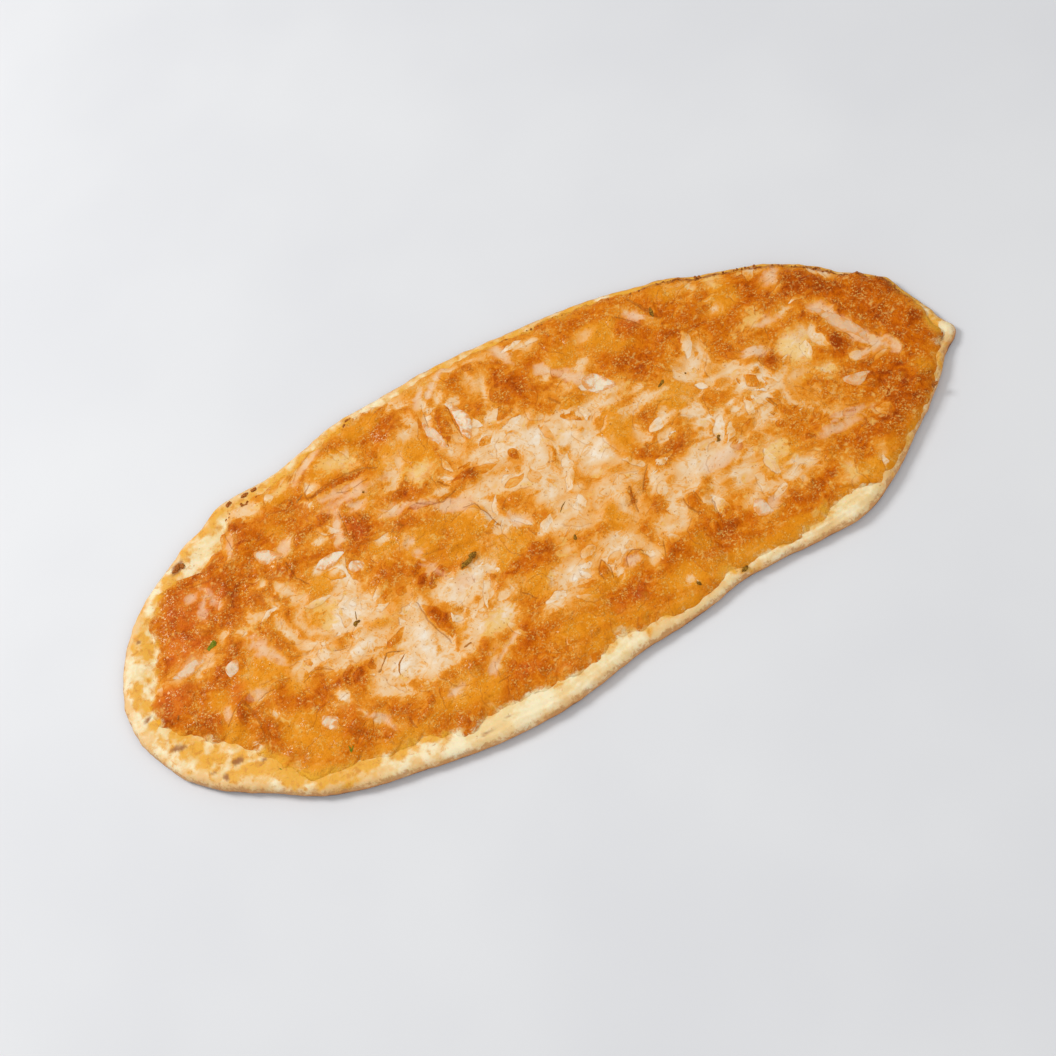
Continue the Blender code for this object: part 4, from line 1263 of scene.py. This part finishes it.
# ---- Herbs and crumbs ------------------------------------------------------------
# Small dried herb leaves and thin stems on the cheese, one green leaf and a few green
# bits, and brown crumbs of charred cheese that make the topping's far edge rough.
# Each is a sphere drawn out along a path, flattened, and half sunk into the topping.

# Paths on the drawing, then the width and height in mm: leaves and stems.
HERBS = (
    ((-78.4, -8.8), (-75.4, -7.8), 1.9, 0.6), ((-76.4, -7.4), (-75.6, -3.4), 0.35, 0.35),
    ((-33.0, -8.8), (-29, -7), (-25.4, -5.2), 2.4, 0.6),
    ((9.6, -19.6), (10.4, -17.4), 1.2, 0.6), ((73.2, -9.6), (75.2, -7.6), 1.4, 0.6),
    ((64.4, 23.2), (67.6, 24.8), 1.4, 0.6), ((57.4, -61.4), (60, -60.4), 1.4, 0.8),
    ((9.4, -6), (11, -3.8), (13.0, -2.4), 0.35, 0.3),
    ((40.8, -58.4), (42.4, -58), 1.8, 0.8), ((75.6, 23.8), (76.4, 24.2), 0.7, 0.5),
    ((-54.4, 40.8), (-53.6, 41.2), 0.8, 0.5), ((76.0, 53), (77.0, 57), 1.6, 0.7),
)
STEMS = (
    ((-76, -31), (-71, -25.4), (-64.6, -28), 0.5, 0.4),
    ((-65, -29), (-68.6, -32), (-70, -36.6), 0.6, 0.4),
    ((-76.8, -31.4), (-75.2, -30.6), 1.0, 0.6),
    ((-44.6, -38.4), (-41.4, -37.8), 0.8, 0.4), ((-79.6, 51), (-76, 53.6), 0.8, 0.4),
)
GREENS = (
    ((-132.2, 9.8), (-127.8, 12.2), 2.6, 0.5), ((-97.4, -55.6), (-97, -52.8), 0.6, 0.4),
    ((-97.4, -55.6), (-95.6, -53.4), 0.5, 0.4), ((-124, -47), (-122.4, -51), 0.8, 0.4),
)
# Crumbs: paths again, then the width and height, and stretches of the far edge on
# which more are strewn: from angle, to angle, how many, mean width in mm.
CRUMBS = (
    ((-105.4, 65.4), (-102.6, 66.4), 1.8, 1.0), ((-98.6, 66), (-95.4, 66.6), 1.8, 1.0),
    ((-94.2, 66.6), (-91.8, 66.8), 1.5, 0.9), ((-49.2, 75.6), (-46.8, 76.4), 1.2, 0.9),
    ((-134.6, 48.6), (-130, 51.6), 2.4, 0.9), ((-130.6, 49), (-129, 51.0), 1.6, 0.9),
    ((152.4, -29), (154.4, -28.4), 1.6, 0.9), ((-152.4, -10.6), (-151, -9.4), 1.0, 0.6),
)
CRUMBLY_EDGES = (
    (122.5, 128, 10, 1.1), (82, 74, 7, 0.8), (69, 62, 7, 0.9), (62, 50, 22, 1.1),
    (50, 30, 34, 1.2), (30, 18, 16, 1.1), (18, 5, 8, 1.0), (105, 108, 4, 0.9),
)
# How far in from the topping's edge crumbs are strewn, and their least and largest
# width next to the mean.
CRUMB_INSETS = (0.2, 1.9)
CRUMB_SPREAD = (0.5, 1.2)
# The share of each bit's height that is sunk in.
HERB_SINK = 0.42
CRUMB_SINK = 0.45
BIT_SECTORS = 12
BIT_RINGS = 18
BIT_SPACING = 4.0
# The direction of a path is taken over this share of its length.
PATH_STEP = 0.02


def path_place(path, share):
    """A place along a path of points, at a share of its length."""
    points = np.array(path, dtype=float)
    lengths = np.hypot(*np.diff(points, axis=0).T)
    marks = np.concatenate([[0.0], np.cumsum(lengths)]) / lengths.sum()
    return np.column_stack([np.interp(share, marks, points[:, axis]) for axis in (0, 1)])


def strewn_crumbs():
    """Short crumbs along the crumbly stretches of the topping's edge."""
    picks = np.random.default_rng(8)
    crumbs = []
    for first, last, count, width in CRUMBLY_EDGES:
        angle = picks.uniform(min(first, last), max(first, last), count)
        inset = bare_rim(angle) + picks.uniform(*CRUMB_INSETS, count)
        for x, y in edge_point(angle, inset).tolist():
            across = width * picks.uniform(*CRUMB_SPREAD)
            dx, dy = picks.uniform(-0.7, 0.7, 2) * across
            crumbs.append(((x - dx, y - dy), (x + dx, y + dy), across, across * 0.7))
    return crumbs


def make_bits_mesh(name, table, sink):
    """One mesh of spheres drawn out along the table's paths."""
    shape = bmesh.new()
    segments = {"u_segments": BIT_SECTORS, "v_segments": BIT_RINGS}
    for number in range(len(table)):
        beside = Matrix.Translation((BIT_SPACING * number, 0.0, 0.0))
        bmesh.ops.create_uvsphere(shape, **segments, radius=1.0, matrix=beside)
    mesh = to_mesh(name, shape)
    marks = corners(mesh)
    numbers = (marks[:, 0] / BIT_SPACING).round().astype(int)
    places = np.zeros((len(marks), 2))
    heights = np.zeros(len(marks))
    for number, (*path, width, thickness) in enumerate(table):
        mine = numbers == number
        sphere = marks[mine] - (BIT_SPACING * number, 0.0, 0.0)
        share = (1.0 + sphere[:, 2]) / 2.0
        spine = path_place(path, share)
        further = np.minimum(share + PATH_STEP, 1.0)
        ahead = path_place(path, further) - path_place(path, further - PATH_STEP)
        ahead /= np.linalg.norm(ahead, axis=1, keepdims=True)
        aside = np.column_stack([-ahead[:, 1], ahead[:, 0]])
        place = spine + aside * (sphere[:, 0] * width / 2.0)[:, None]
        place = bent(place, ((1.6, width * 0.35), (0.8, width * 0.15)), 75.0)
        lift = sphere[:, 1] * thickness / 2.0 + thickness * (0.5 - sink)
        lift += 0.3 * thickness * ripple(place, 1.1, 78.0)
        places[mine] = place
        heights[mine] = draped(spine) + lift
    set_corners(mesh, places, heights)
    mesh.shade_smooth()
    return mesh


def make_bits_material(name, dark, light, roughness):
    fixed = {"Roughness": roughness, "Specular IOR Level": 0.1}
    material, start = start_material(name, fixed)
    fine = start.grain(0.7, 3.0, 0.6)
    colour = fine.step(-0.15, 0.2).tinted(dark, light)
    feed(material, {"Base Color": colour}, fine, 0.5)
    return material


dried = make_bits_material("dried herb", tint(112, 70, 14), tint(176, 128, 36), 0.6)
woody = make_bits_material("herb stem", tint(186, 114, 42), tint(214, 148, 68), 0.6)
fresh = make_bits_material("green herb", tint(106, 114, 12), tint(150, 150, 38), 0.6)
char = make_bits_material("charred cheese", tint(146, 76, 22), tint(206, 124, 48), 0.5)
for name, table, sink, look in (
    ("herbs", HERBS, HERB_SINK, dried), ("stems", STEMS, HERB_SINK, woody),
    ("greens", GREENS, HERB_SINK, fresh),
    ("crumbs", [*CRUMBS, *strewn_crumbs()], CRUMB_SINK, char),
):
    bits = new_piece(name, make_bits_mesh(name, table, sink), look)
    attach(bits, "root")
